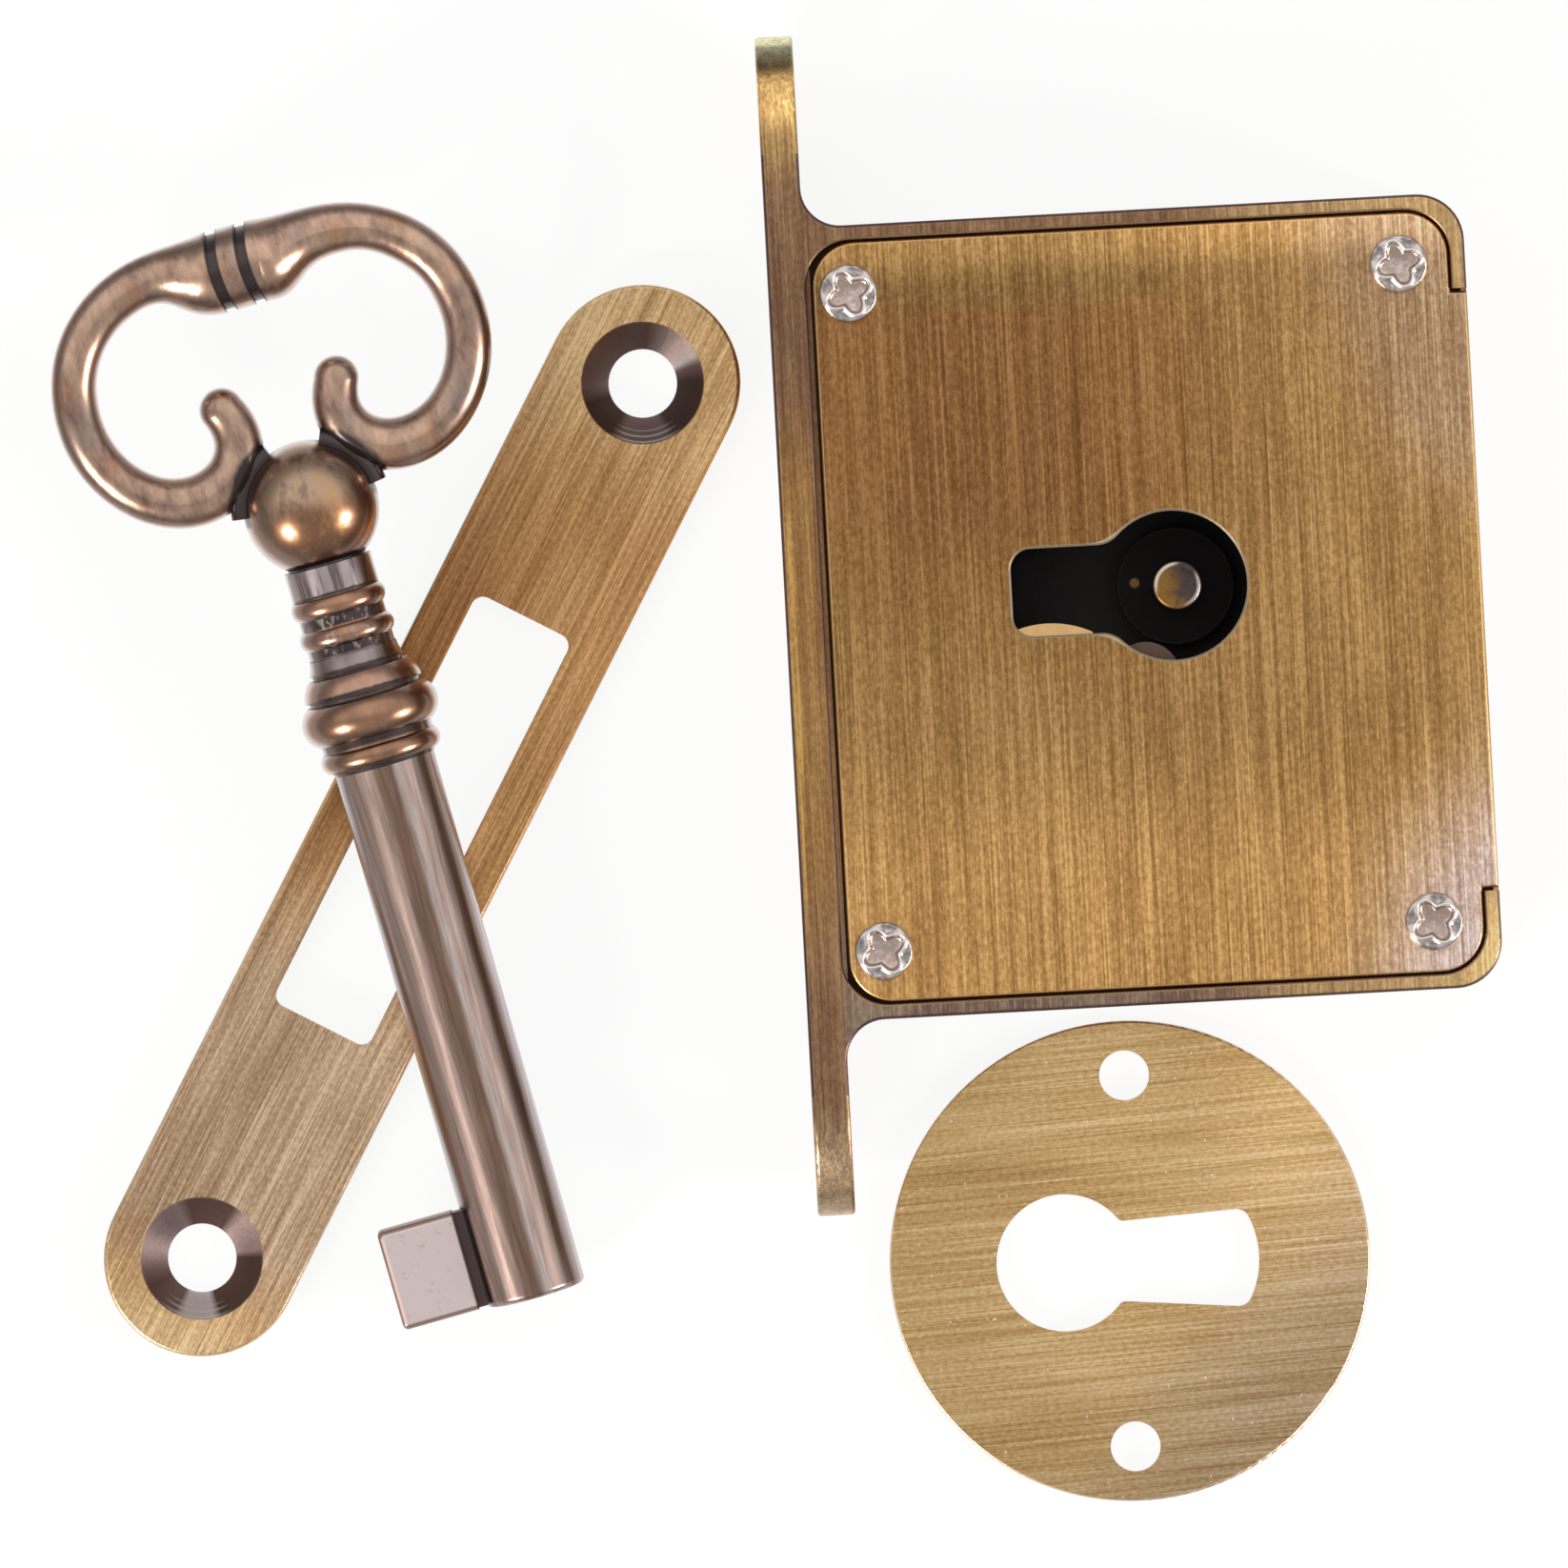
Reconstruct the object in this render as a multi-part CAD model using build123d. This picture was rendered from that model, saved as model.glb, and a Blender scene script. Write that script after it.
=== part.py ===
from build123d import *
import math
import os

# Furniture mortice lock with its striking plate, barrel key and keyhole plate, laid out flat.
# Lengths are in millimetres and angles in degrees. The origin is on the back of the case,
# under the key pin. X runs from the forend into the case, Y along the forend and Z from the
# back of the case to its cover. The bolt is drawn back into the case.

# Case and forend, one casting
backset = 25.0              # forend's outer face to the key pin
pin_above_centre = 1.3      # key pin above the middle of the forend
case_depth = 42.0           # behind the forend
case_height = 50.6
case_thick = 12.5
case_corner = 3.0
back_wall = 1.5
side_wall = 2.0             # below the cover's seat
rim_wall = 0.95             # beside the cover
rim_edge_round = 0.18       # inner edge of the rim
cavity_corner = 1.5
web_radius = 2.5            # between the forend and the case
forend_thick = 2.4
edge_round = 0.25           # worn edges of the casting

# Forend and striking plate match each other
forend_ear = 12.4           # forend past the top and the bottom of the case
plate_width = 12.5
end_screw_inset = 6.3       # end of a plate to the middle of its screw
screw_hole = 4.4
countersink = 7.9
strike_thick = 2.0
strike_slot_length = 29.3
strike_slot_width = 6.85
strike_slot_corner = 0.8

# Cover and its screws
cover_thick = 1.0
cover_recess = 0.2          # below the rim
cover_gap = 0.12            # round the edge of the cover
cover_front_gap = 0.42      # beside the forend
cover_corner = 2.8
cover_edge_round = 0.25
tongue_height = 38.4        # gap in the rim that the cover's tongue fills
tongue_gap = 0.2            # above and below the tongue
keyhole_round = 9.5
keyhole_offset = 0.3        # centre of the keyhole's round end towards the forend
keyhole_reach = 10.55       # key pin to the far end of the slot
keyhole_slot = 5.6
keyhole_corner = 1.3
keyhole_blend = 1.8
screw_inset_front = 5.1     # from the forend's outer face
screw_inset_rear = 4.25     # from the rear of the case
screw_inset_side = 4.35     # from the top and bottom of the case
cover_screw = 2.0
cover_screw_length = 7.0
cover_screw_head = 3.7
cover_screw_head_height = 0.9
screw_clearance = 0.1
boss_radius = 2.5

# Key pin and the seat that stops the key
pin_diameter = 3.2
pin_root_diameter = 2.6     # thinner root, pressed into the seat
pin_root = 0.9              # left of the back wall under a pressed-in pin
pin_below_cover = 0.5
pin_dome = 0.3
key_seat_diameter = 7.4
key_seat_height = 3.0

# Bolt
bolt_height = 27.0
bolt_thick = 6.0
bolt_throw = 9.0
slide_clearance = 0.1
bolt_nose_chamfer = 0.35
sweep_clearance = 0.45      # round the turning bit
body_rear = 6.0             # key pin to the rear of the bolt's upper part
horn_radius = 2.2
horn_top = 3.5              # key pin down to the top of the horns
gullet_floor_clearance = 0.7
arm_bottom = 17.5           # key pin down to the underside of the arm
arm_stop_gap = 0.3          # shoulder to the wall when thrown
post_gap = 0.3              # rear of the arm to the lever's post
arm_land = 1.75             # metal behind the guide post's slot
guide_below = 12.3          # key pin down to the guide post
guide_post_diameter = 3.0
running_clearance = 0.05
rail_width = 1.5
upper_rail_above = 9.0      # key pin up to the upper rail

# Lever
lever_thick = 1.4
lever_above_bolt = 0.2
pivot_inset = 4.8           # rear of the case to the lever's pivot
pivot_below = 9.5
pivot_diameter = 3.0
pivot_shoulder = 4.0
lever_hub = 4.8
lever_nose_radius = 6.4
lever_nose_front = 8.4      # key pin to the centre of the nose
lever_nose_below = 8.4
lever_lift = 9.5            # when the bit passes
lever_drop = 1.9            # into a notch
belly_clearance = 0.1
lug_front = 9.25            # key pin to the middle of the lug
lug_width = 2.5
lug_depth = 4.8             # how far the lug stands down beside the bolt
lug_gap = 0.1               # under the lands while the lever is clear of a notch
notch_width = 3.4
notch_depth = 1.0
lever_leg_width = 5.0

# Lever spring
spring_thick = 0.3
spring_width = 3.4
spring_anchor_length = 3.4
spring_anchor_inset = 7.4   # rear of the case to the rear end of the anchor
spring_bend = 4.0
spring_gap = 0.1
anchor_rib = 1.0

# Key
shank_diameter = 6.5
shank_bore = 3.4
shank_bore_depth = 18.0
shank_end_round = 0.4
key_tip = 52.4              # ball's centre to the open end
ball_diameter = 8.7
spigot_diameter = 4.2
spigot_length = 8.0
bit_radius = 8.75
bit_height = 6.5
bit_thick = 2.5
bit_end_gap = 0.15          # short of the shank's end
bit_neck_thick = 1.6
bit_neck_length = 0.5
bit_edge_round = 0.4
collar_at = 13.64           # ball's centre to the widest collar
collar_radius = 4.47
collar_half_width = 1.28

# Keyhole plate
rose_diameter = 30.8
rose_thick = 1.0
rose_edge = 0.15
rose_round = 8.8
rose_round_offset = 4.15    # plate's centre to the centre of the round end
rose_slot_end = 8.3         # plate's centre to the far end of the slot
rose_slot_inner = 4.6       # where its sides would reach the centre of the round end
rose_slot_outer = 6.3
rose_slot_corner = 0.9
rose_slot_throat = 0.5      # blend between the slot and the round end
rose_slot_bow = 0.9         # how far the end of the slot bulges
rose_screw_spacing = 23.8
rose_screw_hole = 3.2

# Where the loose pieces lie beside the lock
strike_out = 23.96          # forend's face to the middle of the striking plate
strike_down = 11.09         # middle of the forend down to the middle of the striking plate
strike_turn = 60.16
ball_out = 5.88             # middle of the striking plate out to the key's ball
ball_up = 20.33
key_turn = -77.2
loose_gap = 0.06            # between the key and the plate that it lies on
rose_from_pin = 5.19        # key pin to the middle of the keyhole plate, towards the forend
rose_gap = 1.03             # between the case and the keyhole plate
rose_turn = -1.3

# Worked out from the sizes above
plate_length = case_height + 2 * forend_ear
screw_spacing = plate_length - 2 * end_screw_inset
forend_outer = -backset
forend_inner = forend_outer + forend_thick
case_rear = forend_inner + case_depth
centre_y = -pin_above_centre
centre_z = case_thick / 2
ledge = side_wall - rim_wall
seat_z = case_thick - cover_recess - cover_thick
cover_top = seat_z + cover_thick
bolt_bottom = centre_z - bolt_thick / 2
bolt_top = centre_z + bolt_thick / 2
rail_top = bolt_bottom - running_clearance
pivot_back = case_rear - pivot_inset
arm_end = pivot_back - pivot_shoulder / 2 - post_gap
guide_slot_width = guide_post_diameter + 2 * running_clearance
guide_along = arm_end - arm_land - guide_slot_width / 2 - bolt_throw
spring_anchor_rear = case_rear - spring_anchor_inset
bolt_upper = centre_y + bolt_height / 2
bolt_lower = centre_y - bolt_height / 2
key_seat_top = back_wall + key_seat_height
sweep_radius = bit_radius + sweep_clearance
gullet_floor = bit_radius + gullet_floor_clearance
lever_bottom = bolt_top + lever_above_bolt
lever_top = lever_bottom + lever_thick
strike_place = (forend_outer - strike_out, centre_y - strike_down)
key_place = (strike_place[0] - ball_out, strike_place[1] + ball_up)
rose_place = (-rose_from_pin, centre_y - case_height / 2 - rose_gap - rose_diameter / 2)
forend_plane = Plane(
    origin=(forend_outer, centre_y, centre_z), x_dir=(0, 1, 0), z_dir=(-1, 0, 0)
)


def upright(sketch, low, high):
    # A flat outline in X and Y made solid between two heights.
    return Pos(0, 0, low) * extrude(sketch, high - low)


def span(x_low, x_high, y_low, y_high):
    # A rectangle given by its edges.
    middle = Pos((x_low + x_high) / 2, (y_low + y_high) / 2)
    return middle * Rectangle(x_high - x_low, y_high - y_low)


def screw_places():
    # The four cover screws: place, and which corner each one stands in.
    front = forend_outer + screw_inset_front
    rear = case_rear - screw_inset_rear
    side = case_height / 2 - screw_inset_side
    return [
        (x, centre_y + turn * side, way, turn)
        for x, way in ((front, -1), (rear, 1))
        for turn in (-1, 1)
    ]


def countersunk_hole(thick):
    # Cutter for a countersunk hole whose mouth is at Z = 0.
    depth = (countersink - screw_hole) / 2
    drill = Pos(0, 0, -thick / 2) * Cylinder(screw_hole / 2, thick + 2)
    mouth = Pos(0, 0, -depth / 2) * Cone(screw_hole / 2, countersink / 2, depth)
    return drill + mouth


def end_screw_cutters(thick):
    # The two end holes of a plate whose face is at Z = 0 and whose length is along X.
    hole = countersunk_hole(thick)
    return [Pos(way * screw_spacing / 2, 0, 0) * hole for way in (-1, 1)]


def cover_pocket():
    # Outline that the rim leaves for the cover, with the gap for its tongue.
    half = case_height / 2 - rim_wall
    pocket = span(forend_inner, case_rear - rim_wall, centre_y - half, centre_y + half)
    pocket = fillet(pocket.vertices(), cover_corner + cover_gap)
    tongue = span(
        case_rear - 2 * rim_wall, case_rear + 1,
        centre_y - tongue_height / 2, centre_y + tongue_height / 2,
    )
    return pocket + tongue


def cavity_outline():
    # Room inside the walls, less the screw bosses that fill its corners.
    half = case_height / 2 - side_wall
    room = span(
        forend_inner + ledge, case_rear - side_wall, centre_y - half, centre_y + half
    )
    room = fillet(room.vertices(), cavity_corner)
    for x, y, way, turn in screw_places():
        room -= Pos(x, y) * Circle(boss_radius)
        corner = Pos(x + way * boss_radius / 2, y + turn * boss_radius / 2)
        room -= corner * Rectangle(boss_radius, boss_radius)
    return room


def casting_webs():
    # Concave fillets between the inner face of the forend and the case.
    webs = []
    for turn in (-1, 1):
        corner_y = centre_y + turn * case_height / 2
        block = Pos(forend_inner + web_radius / 2, corner_y + turn * web_radius / 2)
        curve = Pos(forend_inner + web_radius, corner_y + turn * web_radius)
        web = block * Rectangle(web_radius, web_radius) - curve * Circle(web_radius)
        webs.append(upright(web, 0, case_thick))
    return webs


def spring_line():
    # Middle line of the leaf spring, from its anchored end to its tip under the lug.
    anchor_y = centre_y - case_height / 2 + side_wall + anchor_rib + spring_thick / 2
    bend_x = spring_anchor_rear - spring_anchor_length
    tip_x = -lug_front - lug_width / 2
    tip_y = -arm_bottom - lug_gap - lever_thick - spring_gap - spring_thick / 2
    return [(spring_anchor_rear, anchor_y), (bend_x, anchor_y), (tip_x, tip_y)]


def spring_anchor():
    # Two cast ribs that grip the end of the leaf spring.
    rear, anchor_y = spring_line()[0]
    floor_y = centre_y - case_height / 2 + side_wall
    top = lever_bottom - lug_depth + spring_width + spring_gap
    low = anchor_y - spring_thick / 2
    high = anchor_y + spring_thick / 2
    front = rear - spring_anchor_length + spring_gap
    ribs = span(front, rear, floor_y - ledge, low) + span(front, rear, high, high + anchor_rib)
    return upright(ribs, back_wall, top)


def bolt_rails():
    # Two cast strips that the bolt slides on.
    front = forend_inner + ledge
    arm_front = front + bolt_throw + arm_stop_gap
    lower_y = -(guide_below + guide_post_diameter / 2 + arm_bottom) / 2
    upper = span(
        front, -body_rear - horn_radius,
        upper_rail_above - rail_width / 2, upper_rail_above + rail_width / 2,
    )
    lower = span(arm_front, pivot_back - lever_hub, lower_y - rail_width / 2, lower_y + rail_width / 2)
    return upright(upper + lower, back_wall, rail_top)


def case_block():
    # Solid block of the case with its forend, all outer edges a little worn.
    body = span(
        forend_inner, case_rear, centre_y - case_height / 2, centre_y + case_height / 2
    )
    body = fillet(body.vertices().group_by(Axis.X)[-1], case_corner)
    block = upright(body, 0, case_thick)
    forend = extrude(SlotOverall(plate_length, plate_width), -forend_thick)
    block += forend_plane.location * forend
    block += casting_webs()
    ends = [edge for edge in block.edges().filter_by(GeomType.CIRCLE) if edge.radius > plate_width / 2 - 0.01]
    flats = block.faces().filter_by(Axis.Z)
    rims = flats.sort_by(Axis.Z)[-1].outer_wire().edges() + flats.sort_by(Axis.Z)[0].outer_wire().edges()
    rims = [edge for edge in rims if abs((edge @ 0.5).X - forend_inner + forend_thick / 2) > 0.01]
    return fillet(rims + ends, edge_round)


def make_case():
    case = case_block()
    case -= upright(cover_pocket(), seat_z, case_thick + 1)
    walls = case.faces().filter_by(Axis.Z).sort_by(Axis.Z)[-1].edges()
    walls = [
        edge for edge in walls
        if forend_inner - 0.01 < (edge @ 0.5).X < case_rear - rim_wall + 0.01
        and abs((edge @ 0.5).Y - centre_y) < case_height / 2 - rim_wall + 0.01
    ]
    case = fillet(walls, rim_edge_round)
    case -= upright(cavity_outline(), back_wall, seat_z + 1)
    key_seat = Pos(0, 0, back_wall - 0.5) * Cylinder(
        key_seat_diameter / 2, key_seat_height + 0.5, align=(Align.CENTER, Align.CENTER, Align.MIN)
    )
    guide_boss = Pos(guide_along, -guide_below, back_wall - 0.5) * Cylinder(
        guide_post_diameter / 2 + 0.9, rail_top - back_wall + 0.5,
        align=(Align.CENTER, Align.CENTER, Align.MIN),
    )
    case += [key_seat, guide_boss, bolt_rails(), spring_anchor()]
    slot = RectangleRounded(
        bolt_height + 2 * slide_clearance, bolt_thick + 2 * slide_clearance, 3 * slide_clearance
    )
    case -= forend_plane.location * Pos(0, 0, 1) * extrude(slot, -forend_thick - ledge - 1.5)
    case -= [forend_plane.location * cutter for cutter in end_screw_cutters(forend_thick)]
    for x, y, way, turn in screw_places():
        case -= Pos(x, y, seat_z - cover_screw_length) * Cylinder(
            cover_screw / 2, cover_screw_length + 1, align=(Align.CENTER, Align.CENTER, Align.MIN)
        )
    for x, y, radius in (
        (0, 0, pin_root_diameter / 2),
        (guide_along, -guide_below, guide_post_diameter / 2),
        (pivot_back, -pivot_below, pivot_diameter / 2),
    ):
        case -= Pos(x, y, pin_root) * Cylinder(
            radius, case_thick, align=(Align.CENTER, Align.CENTER, Align.MIN)
        )
    return case


def keyhole_outline():
    # Round hole with a slot towards the forend, its far corners and its throat rounded.
    half = keyhole_slot / 2
    outline = span(-keyhole_reach, -keyhole_offset, -half, half)
    outline = fillet(outline.vertices().group_by(Axis.X)[0], keyhole_corner)
    outline += Pos(-keyhole_offset, 0) * Circle(keyhole_round / 2)
    throat = [
        corner for corner in outline.vertices()
        if abs(abs(corner.Y) - half) < 0.01 and corner.X > -keyhole_round / 2 - keyhole_offset
    ]
    return fillet(throat, keyhole_blend)


def make_cover():
    half = case_height / 2 - rim_wall - cover_gap
    rear = case_rear - rim_wall - cover_gap
    plate = span(forend_inner + cover_front_gap, rear, centre_y - half, centre_y + half)
    plate = fillet(plate.vertices(), cover_corner)
    tongue_half = tongue_height / 2 - tongue_gap
    plate += span(rear - 1, case_rear, centre_y - tongue_half, centre_y + tongue_half)
    cover = upright(plate, seat_z, cover_top)
    cover = fillet(cover.faces().sort_by(Axis.Z)[-1].edges(), cover_edge_round)
    cover -= upright(keyhole_outline(), seat_z - 1, cover_top + 1)
    keyhole_edges = [
        edge for edge in cover.faces().sort_by(Axis.Z)[-1].edges()
        if (edge @ 0.5).X < keyhole_round and abs((edge @ 0.5).Y) < keyhole_round
        and (edge @ 0.5).X > -keyhole_reach - 0.1
    ]
    cover = chamfer(keyhole_edges, edge_round / 2)
    for x, y, way, turn in screw_places():
        cover -= Pos(x, y, seat_z) * Cylinder(cover_screw / 2 + screw_clearance, 3 * cover_thick)
    return cover


def make_cover_screw():
    # Pan head screw standing on Z = 0, the underside of its head.
    core = cover_screw / 2 - running_clearance
    length = cover_screw_length - cover_thick
    head = Cylinder(
        cover_screw_head / 2, cover_screw_head_height,
        align=(Align.CENTER, Align.CENTER, Align.MIN),
    )
    head = fillet(head.faces().sort_by(Axis.Z)[-1].edges(), cover_screw_head_height * 0.6)
    shank = Cylinder(core, length, align=(Align.CENTER, Align.CENTER, Align.MAX))
    shank = chamfer(shank.faces().sort_by(Axis.Z)[0].edges(), core / 2)
    return head + shank


def make_cover_screws():
    screw = make_cover_screw()
    return Compound(children=[
        Pos(x, y, cover_top) * screw for x, y, way, turn in screw_places()
    ])


def turned_pin(radius, low, high, dome):
    # Plain round pin with a slightly domed end.
    pin = Pos(0, 0, low) * Cylinder(
        radius, high - low, align=(Align.CENTER, Align.CENTER, Align.MIN)
    )
    return fillet(pin.faces().sort_by(Axis.Z)[-1].edges(), dome)


def make_key_pin():
    # The key's bore slides over the free end, which stands on the seat that stops the key.
    free_end = turned_pin(pin_diameter / 2, key_seat_top, cover_top - pin_below_cover, pin_dome)
    root = Pos(0, 0, pin_root) * Cylinder(
        pin_root_diameter / 2, key_seat_top - pin_root,
        align=(Align.CENTER, Align.CENTER, Align.MIN),
    )
    return free_end + root


def make_guide_post():
    high = bolt_top - running_clearance
    post = turned_pin(guide_post_diameter / 2, pin_root, high, pin_dome)
    return Pos(guide_along, -guide_below, 0) * post


def make_lever_post():
    # Shouldered post: the lever rests on the shoulder and turns on the thinner end.
    high = seat_z - running_clearance
    post = turned_pin(pivot_diameter / 2, pin_root, high, pin_dome)
    post += Pos(0, 0, back_wall) * Cylinder(
        pivot_shoulder / 2, lever_bottom - running_clearance - back_wall,
        align=(Align.CENTER, Align.CENTER, Align.MIN),
    )
    return Pos(pivot_back, -pivot_below, 0) * post


def gullet_width():
    # Room between the horns, so that the bit drives the bolt through its full throw.
    engaged = horn_top + sweep_clearance
    return bit_thick + 2 * math.sqrt(bit_radius ** 2 - engaged ** 2) - bolt_throw


def horn(front_x):
    # One horn of the bolt's talon, round at the top; its flank is at front_x.
    middle = front_x + horn_radius
    nose = Pos(middle, -horn_top - horn_radius) * Circle(horn_radius)
    stem = span(
        middle - horn_radius, middle + horn_radius, -guide_below, -horn_top - horn_radius
    )
    return nose + stem


def make_bolt():
    middle = bolt_throw / 2
    front_flank = middle - gullet_width() / 2
    rear_flank = middle + gullet_width() / 2
    arm_front = forend_inner + ledge + bolt_throw + arm_stop_gap
    front_horn = front_flank - 2 * horn_radius
    shape = span(forend_outer, -body_rear, bolt_lower, bolt_upper)
    shape += span(arm_front, front_horn + horn_radius, bolt_lower, -horn_top - horn_radius)
    shape -= Circle(sweep_radius)
    shape += span(arm_front, arm_end, -arm_bottom, -gullet_floor)
    shape += horn(front_horn)
    shape += horn(rear_flank)
    shape -= span(arm_end, case_rear, -arm_bottom - 1, 0)
    guide_slot = SlotCenterToCenter(bolt_throw, guide_slot_width)
    shape -= Pos(guide_along + bolt_throw / 2, -guide_below) * guide_slot
    for travel in (0, bolt_throw):
        shape -= Pos(travel - lug_front, -arm_bottom) * Rectangle(notch_width, 2 * notch_depth)
    bolt = upright(shape, bolt_bottom, bolt_top)
    nose = bolt.faces().sort_by(Axis.X)[0]
    return chamfer(nose.edges(), bolt_nose_chamfer)


def lifted_belly_centre():
    # The lever's belly follows the bit when lifted; this is its centre with the lever down.
    angle = math.radians(lever_lift)
    x = -pivot_back
    y = pivot_below
    return (
        pivot_back + x * math.cos(angle) + y * math.sin(angle),
        -pivot_below - x * math.sin(angle) + y * math.cos(angle),
    )


def lever_outline():
    belly_x, belly_y = lifted_belly_centre()
    nose_x = -lever_nose_front
    nose_y = -lever_nose_below
    leg_low = -arm_bottom - lug_gap - lever_thick
    leg_front = -lug_front - lever_leg_width / 2
    arm = make_face(Polyline(
        (nose_x, nose_y + lever_nose_radius - 1.5),
        (belly_x + lever_nose_radius, -pivot_below + lever_hub + 0.5),
        (pivot_back + 0.5, -pivot_below + lever_hub / 2),
        (pivot_back - 0.7, -pivot_below - lever_hub / 2),
        (nose_x + 1.5, nose_y - lever_nose_radius),
        (nose_x, nose_y + lever_nose_radius - 1.5),
    ))
    shape = arm + Pos(nose_x, nose_y) * Circle(lever_nose_radius)
    shape += span(leg_front, leg_front + lever_leg_width, leg_low, nose_y)
    shape -= Pos(belly_x, belly_y) * Circle(bit_radius + belly_clearance)
    shape += Pos(pivot_back, -pivot_below) * Circle(lever_hub / 2)
    return shape - Pos(pivot_back, -pivot_below) * Circle(pivot_diameter / 2 + running_clearance)


def make_lever():
    lever = upright(lever_outline(), lever_bottom, lever_top)
    lug_high = -arm_bottom - lug_gap
    lug = span(
        -lug_front - lug_width / 2, -lug_front + lug_width / 2,
        lug_high - lever_thick, lug_high,
    )
    return lever + upright(lug, lever_bottom - lug_depth, lever_bottom)


def make_lever_spring():
    # Flat strip on edge, bent once and held between the anchor's ribs.
    line = FilletPolyline(*spring_line(), radius=spring_bend)
    low = lever_bottom - lug_depth + spring_gap
    strip = trace(line, spring_thick)
    return upright(strip, low, low + spring_width)


def make_strike_plate():
    plate = extrude(SlotOverall(plate_length, plate_width), -strike_thick)
    slot = RectangleRounded(strike_slot_length, strike_slot_width, strike_slot_corner)
    plate -= extrude(slot, -strike_thick)
    rim = plate.faces().sort_by(Axis.Z)[-1].outer_wire().edges()
    plate = fillet(rim, edge_round)
    plate -= end_screw_cutters(strike_thick)
    x, y = strike_place
    return Pos(x, y, strike_thick) * Rot(0, 0, strike_turn) * plate


def rose_keyhole():
    # Round end, with a slot that widens to a bulging end.
    end = rose_slot_end
    inner = rose_slot_inner / 2
    outer = rose_slot_outer / 2
    shoulder = end - rose_slot_bow
    with BuildSketch() as hole:
        with BuildLine():
            Polyline(
                (shoulder, outer), (-rose_round_offset, inner),
                (-rose_round_offset, -inner), (shoulder, -outer),
            )
            ThreePointArc((shoulder, -outer), (end, 0), (shoulder, outer))
        make_face()
        fillet(hole.vertices().group_by(Axis.X)[-1], rose_slot_corner)
    outline = hole.sketch + Pos(-rose_round_offset, 0) * Circle(rose_round / 2)
    throat = [
        corner for corner in outline.vertices()
        if corner.X < rose_round / 2 - rose_round_offset and abs(corner.Y) > 1
    ]
    return fillet(throat, rose_slot_throat)


def make_keyhole_plate():
    plate = Pos(0, 0, rose_thick / 2) * Cylinder(rose_diameter / 2, rose_thick)
    plate = fillet(plate.faces().sort_by(Axis.Z)[-1].edges(), rose_edge)
    plate -= upright(rose_keyhole(), -1, rose_thick + 1)
    for way in (-1, 1):
        plate -= Pos(0, way * rose_screw_spacing / 2, 0) * Cylinder(
            rose_screw_hole / 2, 3 * rose_thick
        )
    x, y = rose_place
    return Pos(x, y, 0) * Rot(0, 0, rose_turn) * plate


def key_pose():
    # The key lies across the striking plate: its widest collar rests on the near side of the
    # plate's slot and its shank on the far edge, so the bow stands higher than the tip.
    turn = math.radians(strike_turn)
    across = (math.sin(turn), -math.cos(turn))
    away = (key_place[0] - strike_place[0], key_place[1] - strike_place[1])
    start = away[0] * across[0] + away[1] * across[1]
    way = math.radians(key_turn)
    rate = math.cos(way) * across[0] + math.sin(way) * across[1]
    far_edge = (plate_width / 2 - start) / rate
    tilt = math.atan2(collar_radius - shank_diameter / 2, far_edge - collar_at)
    height = strike_thick + loose_gap
    height += collar_radius * math.cos(tilt) + collar_at * math.sin(tilt)
    return Pos(key_place[0], key_place[1], height) * Rot(0, 0, key_turn) * Rot(
        0, math.degrees(tilt), 0
    )


# The key's turned neck from the ball towards the tip. Each row is where a step ends, its
# radius at the start and at the end, and how far its surface swells between them.
turned_steps = [
    (3.66, 2.55, 2.55, 0.0),
    (5.60, 2.86, 2.86, 0.0),
    (6.88, 2.80, 2.80, 0.30),
    (7.61, 2.80, 2.80, 0.0),
    (8.83, 2.80, 2.80, 0.30),
    (9.49, 2.80, 2.80, 0.0),
    (10.47, 2.88, 3.13, -0.06),
    (10.75, 2.95, 2.95, 0.0),
    (12.05, 3.28, 3.86, 0.14),
    (collar_at - collar_half_width, 3.62, 3.62, 0.0),
    (collar_at + collar_half_width, 3.80, 3.80, collar_radius - 3.80),
    (15.46, 3.62, 3.62, 0.0),
    (16.74, 3.60, 3.60, 0.33),
    (16.98, 3.35, 3.35, 0.0),
]
shank_start = turned_steps[-1][0]


def turned_neck():
    # Revolved profile of the neck, beads and collars, with the spigot inside the shank.
    edges = []
    last = (0, 0)

    def join(point):
        nonlocal last
        if math.dist(last, point) > 1e-6:
            edges.append(Line(last, point))
        last = point

    place = 0
    for end, first, final, swell in turned_steps:
        join((place, first))
        if swell:
            middle = ((place + end) / 2, (first + final) / 2 + swell)
            edges.append(ThreePointArc(last, middle, (end, final)))
            last = (end, final)
        else:
            join((end, final))
        place = end
    join((place, spigot_diameter / 2))
    join((place + spigot_length, spigot_diameter / 2))
    join((place + spigot_length, 0))
    join((0, 0))
    return revolve(make_face(Wire(edges)), Axis.X)


# One loop of the bow from the knuckle round to the tip of its scroll: place along the key,
# place across it, and radius of the bar.
bow_bar = [
    (-16.12, 1.45, 2.66),
    (-16.36, 2.85, 2.42),
    (-16.68, 4.05, 1.98),
    (-16.84, 5.60, 1.68),
    (-16.55, 7.55, 1.53),
    (-15.55, 9.60, 1.48),
    (-13.50, 11.60, 1.47),
    (-10.90, 12.62, 1.47),
    (-8.10, 12.68, 1.48),
    (-5.40, 11.68, 1.50),
    (-3.35, 9.75, 1.56),
    (-2.45, 7.20, 1.66),
    (-3.15, 4.65, 1.68),
    (-5.30, 3.35, 1.58),
    (-7.55, 3.80, 1.45),
]
knuckle_shift = 0.36            # how far the thick part of the bow stands off its middle
knuckle_rows = 3
knuckle_grooves = (-1.80, 0.14)
knuckle_groove_width = 0.62
knuckle_groove_depth = 0.2
knuckle_groove_curve = 9.0
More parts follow.
